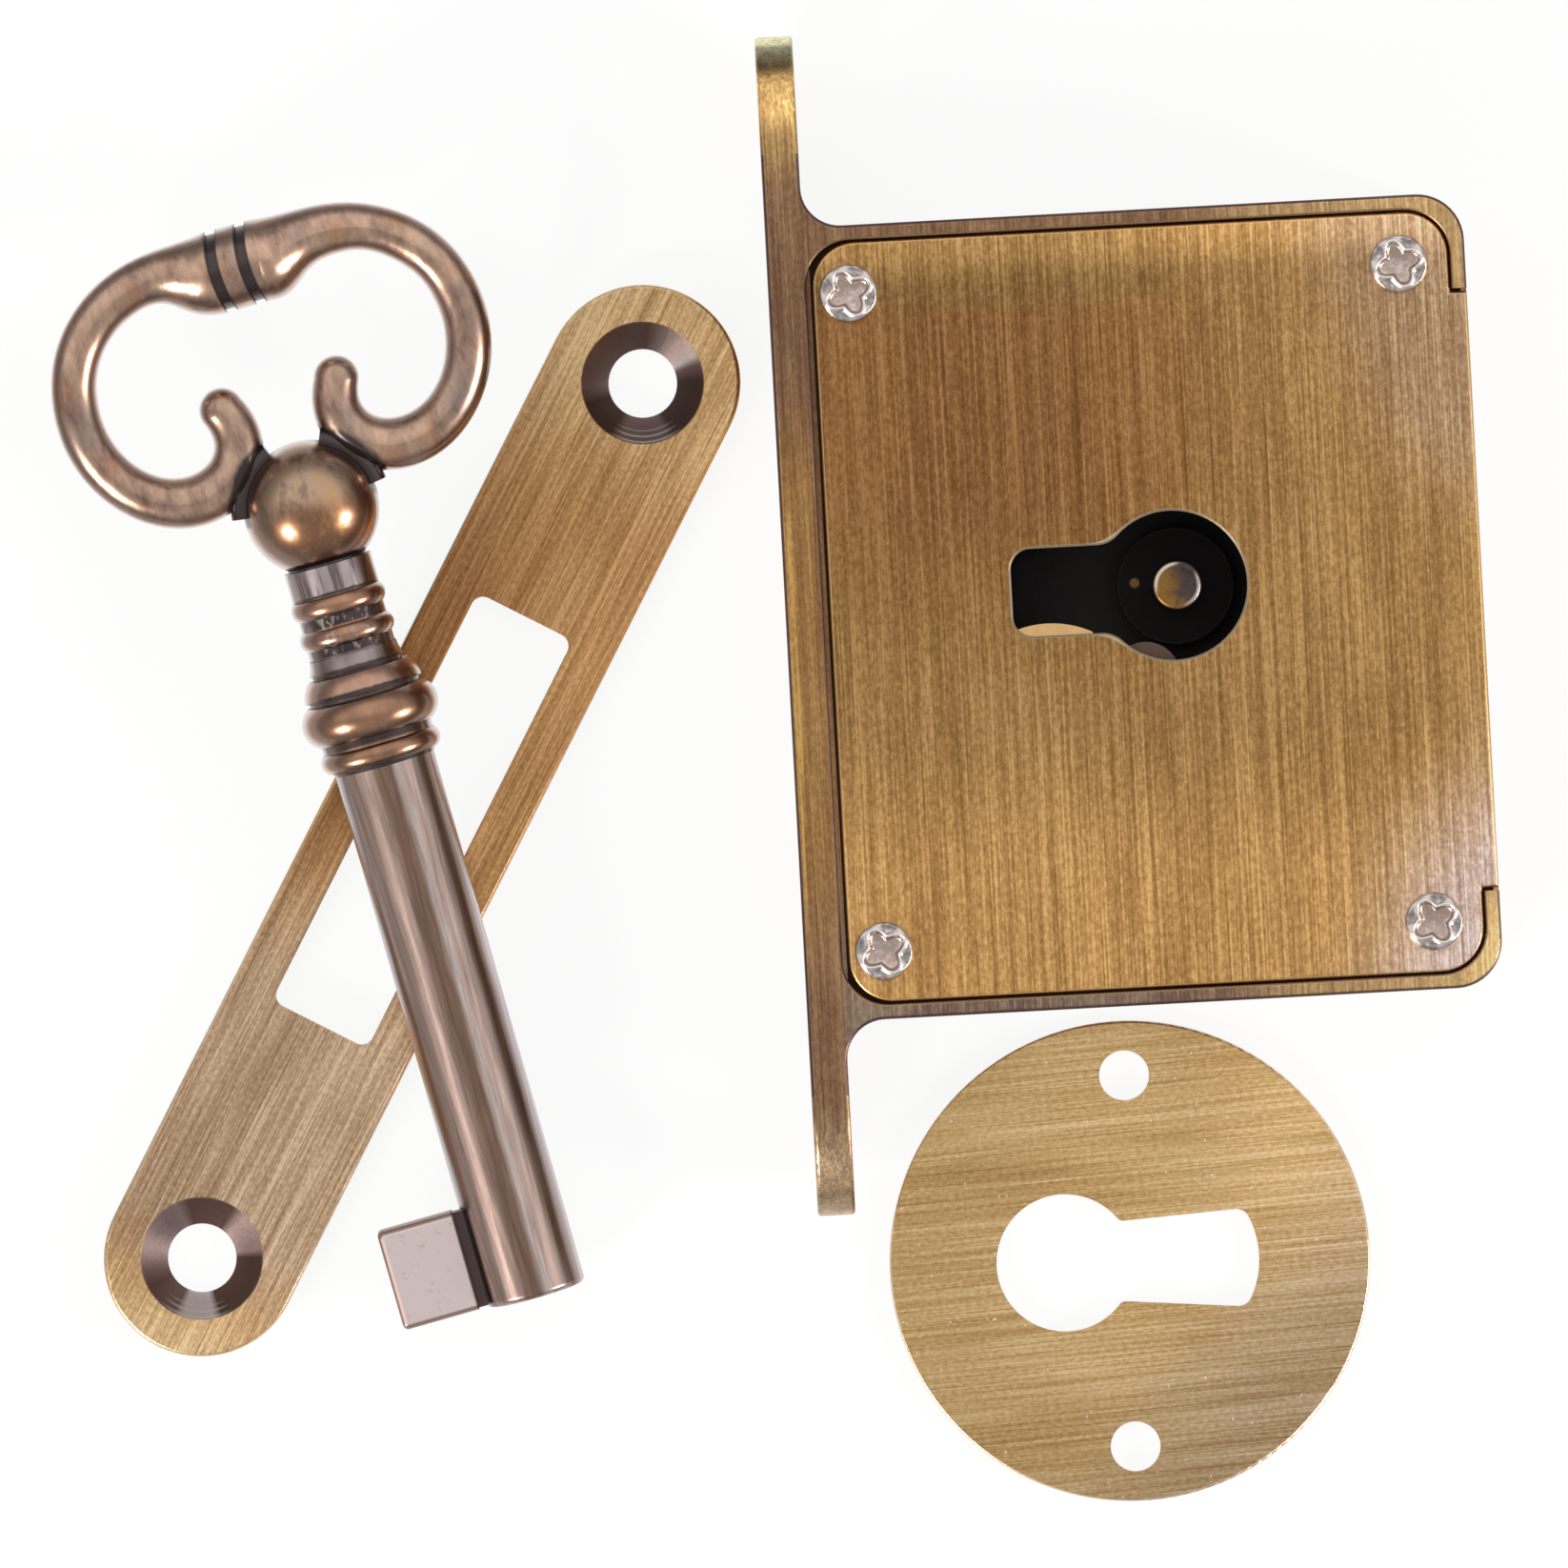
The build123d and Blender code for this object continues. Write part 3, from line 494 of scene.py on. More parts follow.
def makeStrikeBrass():
    # the countersinks are turned through the finish; their shade and reflections are painted in by
    # angle, with painted highlights on a few turned rings
    look = strikeLook
    radius = look["countersink"] / 2
    material, tree, shader, place, colour = makeBrushedBrass("brushedBrassStrike", look)
    for way, ringsAt, finish in look["cones"]:
        centre = (0.0, way * look["holeSpacing"] / 2)
        gap = distanceFrom(tree, place, centre)
        offset = addNode(tree, "ShaderNodeVectorMath", {
            0: place, 1: (*centre, 0.0),
        }, operation="SUBTRACT")
        split = addNode(tree, "ShaderNodeSeparateXYZ", {0: offset.outputs[0]})
        angle = addNode(tree, "ShaderNodeMath", {
            0: split.outputs["Y"], 1: split.outputs["X"],
        }, operation="ARCTAN2")
        around = addNode(tree, "ShaderNodeMapRange", {
            "Value": angle.outputs[0], "From Min": -math.pi, "From Max": math.pi,
        }).outputs[0]
        ramp = addNode(tree, "ShaderNodeValToRGB", {0: around})
        # painted shade and reflections round the countersink, by angle
        cone = setRamp(ramp, [((at + 180) / 360, look[tone]) for at, tone in finish])
        turned = addNode(tree, "ShaderNodeMath", {
            0: gap, 1: 2 * math.pi / look["ringPitch"],
        }, operation="MULTIPLY")
        rings = addNode(tree, "ShaderNodeMath", {0: turned.outputs[0]}, operation="SINE")
        arcMiddle = (ringsAt + 180) / 360
        arcFrom, arcFull = look["ringArc"]
        ringMask = allOf(tree, [
            fade(tree, around, arcMiddle - arcFrom, arcMiddle - arcFull),
            fade(tree, around, arcMiddle + arcFrom, arcMiddle + arcFull),
            fade(tree, rings.outputs[0], *look["ringSharp"]), fade(tree, gap, *look["ringOutside"]),
            look["ringShare"],
        ])
        cone = layered(tree, cone, [(ringMask, look["ring"])])
        inCone = fade(tree, gap, radius + look["coneFrom"], radius - look["coneTo"])
        colour = layered(tree, colour, [(allOf(tree, [tilt(tree), inCone]), cone)])
    tree.links.new(colour, shader.inputs["Base Color"])
    return material


roseLook = {
    "centre": (-5.19, -43.03, 0.0), "angle": -91.3 + 4.0,
    "dark": "#B38B55", "middle": "#D7B178", "light": "#F4D5A2",
    "streak": 0.8, "grit": 0.5, "bands": 0.35, "cloud": 0.25, "length": 12.0,
    # edge is the painted highlight on edges; the tints and levels are partly the finish's own tone,
    # partly painted light and shade
    "edge": "#EBD9C0", "edgeShare": 0.6, "roughness": 0.33, "bump": 0.2,
    "tints": [("#BDA285", 0.6, (0.7, 0.7, 2, 13))],
    "levels": [(1.2, (0, 1, 4, 13), (1, 0, 6, -4)), (0.88, (1, 0, 0, 11)), (0.9, (0, 1, 0, -11))],
    "speck": "#FFF0D8", "speckShare": 0.8, "speckNoise": (0.3, 0.3, 0.0), "speckFrom": (0.82, 0.86),
}


def makeRoseBrass():
    # a few bright specks, set by a noise
    look = roseLook
    material, tree, shader, place, colour = makeBrushedBrass("brushedBrassKeyholePlate", look)
    grit = grainNoise(tree, place, *look["speckNoise"])
    specks = allOf(tree, [fade(tree, grit, *look["speckFrom"]), look["speckShare"]])
    tree.links.new(layered(tree, colour, [(specks, look["speck"])]), shader.inputs["Base Color"])
    return material


paint("cover", makeCoverBrass())
paint("strike_plate", makeStrikeBrass())
paint("keyhole_plate", makeRoseBrass())
print("sheet brass ready")

caseLook = {
    "centre": (0.0, -1.3, 0.0), "angle": 0.0,
    "dark": "#735340", "middle": "#8E6B4F", "light": "#AB8866",
    "streak": 1.0, "grit": 0.5, "bands": 0.5, "cloud": 0.5, "length": 9.0,
    "edge": "#8E6B4F", "edgeShare": 0.0, "roughness": 0.36, "bump": 0.2,
    # tints and levels: on the forend's rounded ends and the right rim, painted reflections, light and
    # shade; elsewhere partly the finish's own tone
    "tints": [
        ("#CBA572", 1.0, (1, 0, -1, 14)),
        ("#8C7666", 0.8, (0, 1, -14, -24), (1, 0, 8, -6), (1, 0, -22.9, -22.2)),
        ("#A67C4C", 0.9, (1, 0, -22.2, -22.9), (0, 1, 16, 8), (0, 1, -25, -12)),
        ("#C0965C", 0.25, (1, 0, -23.9, -24.6), (0, 1, 14, 4), (0, 1, -24, -14)),
        ("#C09A62", 1.0, (1, 0, -22.2, -22.9), (0, 1, 27, 32.5)),
        ("#B89A78", 0.9, (1, 0, -22.2, -22.9), (0, 1, -30, -34)),
        ("#A39489", 0.9, (1, 0, -22.2, -22.9), (0, 1, 35.2, 37)),
    ],
    "levels": [
        (1.75, (1, 0, -22.2, -22.9), (0, 1, 31, 33), (0, 1, 35.5, 34.8)),
        (0.4, (1, 0, -22.2, -22.9), (0, 1, 37.2, 36.9), (0, 1, 35.0, 35.8)),
        (1.45, (1, 0, -22.2, -22.9), (0, 1, -33, -34.4), (0, 1, -36.2, -35.4)),
        (0.7, (1, 0, -22.2, -22.9), (0, 1, -35.7, -36.4), (0, 1, -37.6, -37.2)),
        (1.4, (1, 0, 16, 18.5), (0, 1, -17, -22)),
    ],
    # boxes: lowest and highest corner in millimetres from the look's centre
    "caseBox": ((-30.0, -30.0, 0.0), (30.0, 30.0, 20.0)),
    "pocketBox": ((-22.3, -24.9, 0.0), (19.05, 24.9, 20.0)), "cornerCut": 42.0, "cornerSoft": 0.1,
    "insideBox": ((-21.8, -23.4, 1.4), (17.5, 23.4, 11.25)),
    # painted shade along the rims' rounded edges, a painted highlight on the pocket's edges
    "rimAbove": (12.0, 12.25), "line": "#5A474A", "lineShare": 0.85, "bright": "#C9A77C",
    "brightShare": 0.45,
    # painted shade in the gap round the cover; the well is the blackened inside, painted lighter than
    # the seat to even out the shade deeper down
    "ledge": "#2B1E16", "ledgeBelow": (12.15, 11.95), "well": "#474343", "insideRough": 0.3,
    "pinAt": (0.0, 1.3), "seat": "#2F2C2C", "seatRadius": 3.7, "seatSoft": 0.05,
    "ring": "#4A4643", "ringHalf": 0.14, "ringShare": 0.6,
    "spot": "#B08A50", "spotAt": (-2.6, 1.62), "spotSize": 0.3, "spotSoft": 0.08,
}


def boxMask(tree, split, low, high):
    # 1 inside a box given in millimetres
    masks = []
    for axis, start, end in zip("XYZ", low, high):
        within = addNode(tree, "ShaderNodeMath", {
            0: split.outputs[axis], 1: (start + end) / 2, 2: (end - start) / 2,
        }, operation="COMPARE")
        masks.append(within.outputs[0])
    return allOf(tree, masks)


def makeCaseBrass():
    # casting with the same brushed finish, darker, with a blackened inside; painted shade and
    # highlights along the rims, and painted shade in the gap round the cover
    look = caseLook
    material, tree, shader, place, colour = makeBrushedBrass("dieCastBrassCase", look)
    split = addNode(tree, "ShaderNodeSeparateXYZ", {0: place})
    edge = allOf(tree, [tilt(tree), fade(tree, split.outputs["Z"], *look["rimAbove"])])
    # the cover's pocket, without the rounded outer corners at the rear
    offset = addNode(tree, "ShaderNodeMath", {0: split.outputs["Y"]}, operation="ABSOLUTE")
    slant = addNode(tree, "ShaderNodeMath", {
        0: offset.outputs[0], 1: split.outputs["X"],
    }, operation="ADD")
    cut, cutSoft = look["cornerCut"], look["cornerSoft"]
    pocket = allOf(tree, [
        boxMask(tree, split, *look["pocketBox"]),
        fade(tree, slant.outputs[0], cut + cutSoft, cut - cutSoft),
    ])
    inside = boxMask(tree, split, *look["insideBox"])
    gap = distanceFrom(tree, place, look["pinAt"])
    radius, half = look["seatRadius"], look["ringHalf"]
    seat = fade(tree, gap, radius + look["seatSoft"], radius - look["seatSoft"])
    ring = allOf(tree, [fade(tree, gap, radius - half, radius), fade(tree, gap, radius + half, radius)])
    spot = fade(
        tree, distanceFrom(tree, place, look["spotAt"]),
        look["spotSize"] + look["spotSoft"], look["spotSize"] - look["spotSoft"],
    )
    onLedge = fade(tree, split.outputs["Z"], *look["ledgeBelow"])
    # painted shade and highlight on the rims and painted shade in the gap, then the inside
    colour = layered(tree, colour, [
        (allOf(tree, [edge, boxMask(tree, split, *look["caseBox"]), look["lineShare"]]), look["line"]),
        (allOf(tree, [edge, pocket, look["brightShare"]]), look["bright"]),
        (allOf(tree, [pocket, onLedge]), look["ledge"]),
        (inside, look["well"]),
        (allOf(tree, [inside, seat]), look["seat"]),
        (allOf(tree, [inside, ring, look["ringShare"]]), look["ring"]),
        (allOf(tree, [inside, spot]), look["spot"]),
    ])
    tree.links.new(colour, shader.inputs["Base Color"])
    rough = swung(tree, inside, look["insideRough"], look["roughness"])
    tree.links.new(rough, shader.inputs["Roughness"])
    return material


paint("case", makeCaseBrass())


# works inside the case

leverLook = {"colour": "#F0C488", "roughness": 0.3, "grit": 0.8}
postLook = {"colour": "#4F4543", "roughness": 0.22, "grit": 1.4}
plainMetal = {
    "grit": (3.0, 0.6),   # detail and roughness of the noise
    "dark": 0.8, "light": 1.15, "roughSwing": 0.2,
}


def makePlainMetal(name, look):
    # smooth metal with a slightly uneven surface; grit in millimetres
    material, tree, shader = newMaterial(name)
    place = turnedPlace(tree, (0, 0, 0), 0.0)
    grain = grainNoise(tree, place, look["grit"], look["grit"], *plainMetal["grit"])
    plain = toLinear(look["colour"])[:3]
    shade = addNode(tree, "ShaderNodeMix", {
        "Factor": grain,
        colourA: [c * plainMetal["dark"] for c in plain] + [1.0],
        colourB: [min(1.0, c * plainMetal["light"]) for c in plain] + [1.0],
    }, data_type="RGBA")
    swing = plainMetal["roughSwing"]
    rough = swung(tree, grain, swing, look["roughness"] - swing / 2)
    finishMetal(tree, shader, shade.outputs[colourOut], rough)
    return material


boltLook = {
    # black: grease, and painted shade inside the case
    "black": "#171515", "horn": "#6C5B4E", "hornBelow": (-3.2, -3.4),
    "nose": "#9C8468", "noseBefore": (-12.5, -13.5),
    "grain": (0.5, 2.0, 3.0, 0.6), "roughness": 0.3, "roughSwing": 0.2,
}


def makeBoltSteel():
    # steel darkened by grease and painted black for the shade inside the case; its own paler
    # colour shows along the horns and at the nose
    look = boltLook
    material, tree, shader = newMaterial("greasedBoltSteel")
    place = turnedPlace(tree, (0, 0, 0), 0.0)
    split = addNode(tree, "ShaderNodeSeparateXYZ", {0: place})
    colour = layered(tree, toLinear(look["black"]), [
        (fade(tree, split.outputs["Y"], *look["hornBelow"]), look["horn"]),
        (fade(tree, split.outputs["X"], *look["noseBefore"]), look["nose"]),
    ])
    grain = grainNoise(tree, place, *look["grain"])
    finishMetal(tree, shader, colour, swung(tree, grain, look["roughSwing"], look["roughness"]))
    return material


pinLook = {
    "angle": 20.0, "roughness": 0.42, "blotch": (0.9, 0.9, 3.0, 0.6),
    # the bright colour is a painted highlight on the turned edge, laid by the rings below
    "grey": "#4F4543", "gold": "#8C6733", "dark": "#3A2F29", "bright": "#D8CCC2",
    "goldSide": (1, 0, 0.7, -0.7), "goldFrom": (0.3, 0.5),
    "darkFrom": (0.5, 0.62), "darkShare": 0.7, "rimOutside": (1.46, 1.54), "rimShare": 0.85,
    "ringOutside": (1.18, 1.32), "ringInside": (1.5, 1.4),
    "rings": [(0.9, (-0.5, 0.85, 0.6, 1.15)), (0.55, (0.75, -0.65, 0.6, 1.15))],   # share and side
}


def makePinMetal():
    # turned pin, grey, gold on one half of its end, with painted highlights on its turned edge
    look = pinLook
    material, tree, shader = newMaterial("turnedKeyPin")
    place = turnedPlace(tree, (0, 0, 0), look["angle"])
    blotch = grainNoise(tree, place, *look["blotch"])
    gap = distanceFrom(tree, place, (0.0, 0.0))
    ring = allOf(tree, [fade(tree, gap, *look["ringOutside"]), fade(tree, gap, *look["ringInside"])])
    goldHalf = zone(tree, place, 1.0, look["goldSide"])
    colour = layered(tree, toLinear(look["grey"]), [
        (allOf(tree, [fade(tree, blotch, *look["darkFrom"]), look["darkShare"]]), look["dark"]),
        (allOf(tree, [goldHalf, fade(tree, blotch, *look["goldFrom"])]), look["gold"]),
        *[(allOf(tree, [ring, zone(tree, place, *part)]), look["bright"]) for part in look["rings"]],
        (allOf(tree, [fade(tree, gap, *look["rimOutside"]), look["rimShare"]]), look["dark"]),
    ])
    finishMetal(tree, shader, colour, look["roughness"])
    return material


paint("bolt", makeBoltSteel())
paint("lever", makePlainMetal("stampedLeverBrass", leverLook))
paint("key_pin", makePinMetal())
postSteel = makePlainMetal("drawnPostSteel", postLook)
for nodeName in ("guide_post", "lever_post", "lever_spring"):
    paint(nodeName, postSteel)
print("case and works ready")


# key: cast and bronzed, dark where the polish didn't reach

# Noises as for the brushing. A pair is where a mask starts and where it is full, and lengths are
# in millimetres from the ball's centre, with Y up to the bow.
keyLook = {
    "ballCentre": (-54.84, 7.94, 7.44), "angle": -77.2, "ballRadius": 4.35, "ballSoft": 0.1,
    "blotch": (1.6, 4.0, 3.0, 0.6), "blotchWeight": 0.7,
    "scuff": (0.35, 0.8, 3.0, 0.6), "scuffWeight": 0.3,
    # bow
    "patina": "#836659", "middle": "#B4937F", "rubbed": "#D6B196", "toneStops": (0.33, 0.5, 0.68),
    "hue": (2.6, 3.4, 2.0, 0.5), "hueShare": 0.5,
    "warm": "#B98055", "warmFrom": (0.54, 0.7), "cool": "#94857F", "coolFrom": (0.46, 0.3),
    # ball: its upper half painted paler for the broad reflection it shows; the dull colour also
    # serves the painted shade down the sides
    "ballLower": "#94694C", "ballUpper": "#B5977C", "ballUpperFrom": (0.6, 2.4), "ballWave": 3.0,
    "ballPatch": "#C3925E", "patchFrom": (0.51, 0.6), "patchShare": 0.55,
    "shadowed": "#6E5850", "dullFrom": (0.48, 0.38), "dullShare": 0.6,
    # neck: from and to below the ball, and the name of its finish
    "neckFrom": (3.3, 3.45), "bandFrom": 3.0, "bandTo": 17.4, "ragged": 0.16,
    "neckGrey": "#B8A9AA", "copper": "#A57B60", "pink": "#B88F79", "grey": "#968884",
    "bands": [
        (3.48, 3.62, "recess"), (3.70, 5.50, "neckGrey"), (5.56, 5.66, "recess"),
        (5.80, 6.78, "copper"), (6.88, 7.61, "recess"), (7.73, 8.73, "copper"),
        (8.84, 9.49, "recess"), (9.60, 10.36, "grey"), (10.47, 10.78, "recess"),
        (10.90, 11.95, "pink"), (12.05, 12.38, "recess"), (12.52, 14.76, "copper"),
        (14.94, 15.44, "recess"), (15.58, 16.64, "copper"), (16.76, 17.02, "recess"),
    ],
    "unevenFrom": 0.2, "unevenSwing": 1.5,
    "neckLine": "#786A6B", "linePart": ((3.6, 3.7), (5.58, 5.5)), "lineFrom": (0.52, 0.36),
    "stripe": (0.34, 30.0, 2.0, 0.6),
    "speck": "#A89C99", "speckPart": ((6.9, 7.0), (9.5, 9.4)), "speckFrom": (0.5, 0.6),
    "speckShare": 0.7,
    # what the polish didn't reach: corners, the webs beside the ball, and the knuckle's two grooves
    "recess": "#443837", "cornerReach": 1.0, "cornerRays": 8, "cornerFrom": (0.74, 0.5),
    "cornerRough": 0.3,
    "webOutside": (3.85, 4.1), "webInside": (4.85, 4.45), "webWave": 1.2,
    "webBeside": (1.3, 1.7), "webAbove": (-0.4, 0.0),
    "grooves": (-1.80, 0.14), "grooveWidth": 0.82, "grooveOuter": 0.05, "grooveInner": 0.08,
    "grooveCurve": 9.0, "knuckle": 16.12, "grooveAbove": (12.6, 12.8), "grooveLeftOf": (3.5, 3.2),
    # painted shade down the sides and a painted pale reflection at their outline: steepness where
    # each starts and ends
    "shadowFrom": (0.14, 0.34), "shadowTo": (0.62, 0.48), "shadowShare": 0.7,
    "rim": "#DCCFCA", "rimFrom": (0.54, 0.78), "rimShare": 0.85,
    "roughness": 0.28, "coat": 0.6, "coatRoughness": 0.12, "bump": 0.12, "bumpDepth": 0.06,
}


def keyPlaces(tree):
    # what the key's finishes are laid out by
    look = keyLook
    place = turnedPlace(tree, look["ballCentre"], look["angle"] + 90)
    split = addNode(tree, "ShaderNodeSeparateXYZ", {0: place})
    blotch = grainNoise(tree, place, *look["blotch"])
    scuff = grainNoise(tree, place, *look["scuff"])
    down = addNode(tree, "ShaderNodeMath", {
        0: swung(tree, scuff, -look["ragged"], look["ragged"] / 2), 1: split.outputs["Y"],
    }, operation="SUBTRACT")
    return {
        "place": place, "across": split.outputs["X"], "along": split.outputs["Y"],
        "down": down.outputs[0],    # down the neck, ragged by the scuffs
        "far": distanceFrom(tree, place, (0.0, 0.0)),
        "blotch": blotch, "scuff": scuff,
        "tone": weighted(tree, [(blotch, look["blotchWeight"]), (scuff, look["scuffWeight"])]),
    }


def bowFinish(tree, at):
    # brown patina, rubbed paler in blotches, with warmer and cooler patches
    look = keyLook
    ramp = addNode(tree, "ShaderNodeValToRGB", {0: at["tone"]})
    tones = [look[name] for name in ("patina", "middle", "rubbed")]
    hue = grainNoise(tree, at["place"], *look["hue"])
    return layered(tree, setRamp(ramp, list(zip(look["toneStops"], tones))), [
        (allOf(tree, [fade(tree, hue, *look["warmFrom"]), look["hueShare"]]), look["warm"]),
        (allOf(tree, [fade(tree, hue, *look["coolFrom"]), look["hueShare"]]), look["cool"]),
    ])


def ballFinish(tree, at):
    # polished: a lower tone and an upper half painted paler for the broad reflection there,
    # meeting in a wavy line, with patches of both
    look = keyLook
    wavy = swung(tree, at["blotch"], look["ballWave"], at["along"])
    patch = allOf(tree, [fade(tree, at["tone"], *look["patchFrom"]), look["patchShare"]])
    dull = allOf(tree, [fade(tree, at["tone"], *look["dullFrom"]), look["dullShare"]])
    return layered(tree, toLinear(look["ballLower"]), [
        (fade(tree, wavy, *look["ballUpperFrom"]), look["ballUpper"]),
        (patch, look["ballPatch"]), (dull, look["shadowed"]),
    ])


def neckLayers(tree, at):
    # a tone for each bead, groove and collar, then fine lines under the ball and specks in a groove
    look = keyLook
    share = addNode(tree, "ShaderNodeMapRange", {
        "Value": at["down"], "From Min": look["bandFrom"], "From Max": look["bandTo"],
    })
    ramp = addNode(tree, "ShaderNodeValToRGB", {0: share.outputs[0]})
    span = look["bandTo"] - look["bandFrom"]
    bands = setRamp(ramp, [
        ((edge - look["bandFrom"]) / span, look[finish])
        for start, end, finish in look["bands"] for edge in (start, end)
    ])
    uneven = addNode(tree, "ShaderNodeVectorMath", {
        0: bands, "Scale": swung(tree, at["blotch"], look["unevenSwing"], look["unevenFrom"]),
    }, operation="SCALE")
    striped = grainNoise(tree, at["place"], *look["stripe"])
    lines = [fade(tree, at["down"], *ends) for ends in look["linePart"]]
    lines.append(fade(tree, striped, *look["lineFrom"]))
    specks = [fade(tree, at["down"], *ends) for ends in look["speckPart"]]
    specks += [fade(tree, at["scuff"], *look["speckFrom"]), look["speckShare"]]
    return [
        (fade(tree, at["down"], *look["neckFrom"]), uneven.outputs[0]),
        (allOf(tree, lines), look["neckLine"]), (allOf(tree, specks), look["speck"]),
    ]


def darkMasks(tree, at):
    # where the dark finish is left: corners, webs and grooves
    look = keyLook
    openness = addNode(tree, "ShaderNodeAmbientOcclusion", {
        "Distance": look["cornerReach"] / 1000,
    }, samples=look["cornerRays"], only_local=True)
    corners = fade(tree, openness.outputs["AO"], *look["cornerFrom"])
    offset = addNode(tree, "ShaderNodeMath", {0: at["across"]}, operation="ABSOLUTE")
    outer = swung(tree, at["blotch"], -look["webWave"], at["far"])
    webs = allOf(tree, [
        fade(tree, at["far"], *look["webOutside"]), fade(tree, outer, *look["webInside"]),
        fade(tree, offset.outputs[0], *look["webBeside"]), fade(tree, at["along"], *look["webAbove"]),
    ])
    masks = [corners, webs]
    half = look["grooveWidth"] / 2
    for grooveAt in look["grooves"]:
        # an arc across the knuckle
        toArc = addNode(tree, "ShaderNodeMath", {
            0: distanceFrom(tree, at["place"], (grooveAt + look["grooveCurve"], look["knuckle"])),
            1: look["grooveCurve"],
        }, operation="SUBTRACT")
        size = addNode(tree, "ShaderNodeMath", {0: toArc.outputs[0]}, operation="ABSOLUTE")
        masks.append(allOf(tree, [
            fade(tree, size.outputs[0], half + look["grooveOuter"], half - look["grooveInner"]),
            fade(tree, at["along"], *look["grooveAbove"]),
            fade(tree, at["across"], *look["grooveLeftOf"]),
        ]))
    return masks


def sideLayers(tree):
    # painted shade down the sides, and a painted pale reflection at their outline
    look = keyLook
    level = addNode(tree, "ShaderNodeMath", {0: uprightness(tree)}, operation="ABSOLUTE")
    steep = addNode(tree, "ShaderNodeMath", {0: 1.0, 1: level.outputs[0]}, operation="SUBTRACT")
    shadow = [fade(tree, steep.outputs[0], *look[name]) for name in ("shadowFrom", "shadowTo")]
    rim = fade(tree, steep.outputs[0], *look["rimFrom"])
    return [
        (allOf(tree, [*shadow, look["shadowShare"]]), look["shadowed"]),
        (allOf(tree, [rim, look["rimShare"]]), look["rim"]),
    ]


def makeKeyBronze():
    # bow, ball and neck: bronzed casting, lacquered, brown with rubbed highlights and black recesses,
    # with painted shade down the sides and a painted pale reflection at the outline
    look = keyLook
    material, tree, shader = newMaterial("bronzedKeyCasting")
    at = keyPlaces(tree)
    dark = darkMasks(tree, at)
    onBall = fade(tree, at["far"], look["ballRadius"] + look["ballSoft"], look["ballRadius"])
    colour = layered(tree, bowFinish(tree, at), [
        (onBall, ballFinish(tree, at)), *neckLayers(tree, at), *sideLayers(tree),
        *[(mask, look["recess"]) for mask in dark],
    ])
    bump = addNode(tree, "ShaderNodeBump", {
        "Height": at["scuff"], "Strength": look["bump"], "Distance": look["bumpDepth"] / 1000,
    })
    rough = swung(tree, dark[0], look["cornerRough"], look["roughness"])
    finishMetal(tree, shader, colour, rough, bump)
    shader.inputs["Coat Weight"].default_value = look["coat"]
    shader.inputs["Coat Roughness"].default_value = look["coatRoughness"]
    return material


shankLook = {
    "line": "#75645F", "tube": "#A38C83", "worn": "#C4B4AF",
    "brown": "#8A6F60", "grey": "#9A8983", "edge": "#C0B6B8",
    # painted reflections across the tube, pale edges and dark lines among them: place in
    # millimetres from its axis, and its name
    "across": [
        (-3.15, "edge"), (-2.8, "line"), (-2.3, "tube"), (-0.95, "tube"), (-0.45, "brown"),
        (0.35, "brown"), (0.75, "worn"), (1.3, "tube"), (2.05, "grey"), (2.5, "line"), (2.8, "grey"),
        (3.15, "edge"),
    ],
    "radius": 3.25, "waver": 0.5, "streak": (0.3, 22.0, 3.0, 0.6), "drift": (30.0, 9.0, 2.0, 0.5),
    "unevenFrom": 0.3, "unevenSwing": 1.5, "roughness": 0.27, "bump": 0.15, "bumpDepth": 0.08,
}


def makeShankBronze():
    # drawn tube: painted reflections run along its length, wavering a little, over streaks of finish
    look = shankLook
    material, tree, shader = newMaterial("drawnShankBronze")
    place = turnedPlace(tree, keyLook["ballCentre"], keyLook["angle"] + 90)
    split = addNode(tree, "ShaderNodeSeparateXYZ", {0: place})
    streak = grainNoise(tree, place, *look["streak"])
    drift = grainNoise(tree, place, *look["drift"])
    across = addNode(tree, "ShaderNodeMapRange", {
        "Value": swung(tree, drift, look["waver"], split.outputs["X"]),
        "From Min": -look["radius"] + look["waver"] / 2, "From Max": look["radius"] + look["waver"] / 2,
    })
    ramp = addNode(tree, "ShaderNodeValToRGB", {0: across.outputs[0]})
    colour = setRamp(ramp, [
        ((at + look["radius"]) / (2 * look["radius"]), look[finish]) for at, finish in look["across"]
    ])
    streaked = addNode(tree, "ShaderNodeVectorMath", {
        0: colour, "Scale": swung(tree, streak, look["unevenSwing"], look["unevenFrom"]),
    }, operation="SCALE")
    bump = addNode(tree, "ShaderNodeBump", {
        "Height": streak, "Strength": look["bump"], "Distance": look["bumpDepth"] / 1000,
    })
    finishMetal(tree, shader, streaked.outputs[0], look["roughness"], bump)
    return material


bitLook = {
    # edge is a painted dark reflection on the rounded edges; neck is patina and painted shade
    "face": "#DCCCCB", "scratch": "#BDACA9", "neck": "#5A4C4B", "edge": "#8F7364", "edgeShare": 0.8,
    "scratchNoise": (0.5, 0.5, 4.0, 0.65), "scratchFrom": (0.56, 0.72), "scratchShare": 0.6,
    "neckAt": -3.85, "neckSoft": 0.08, "roughness": 0.42,
}


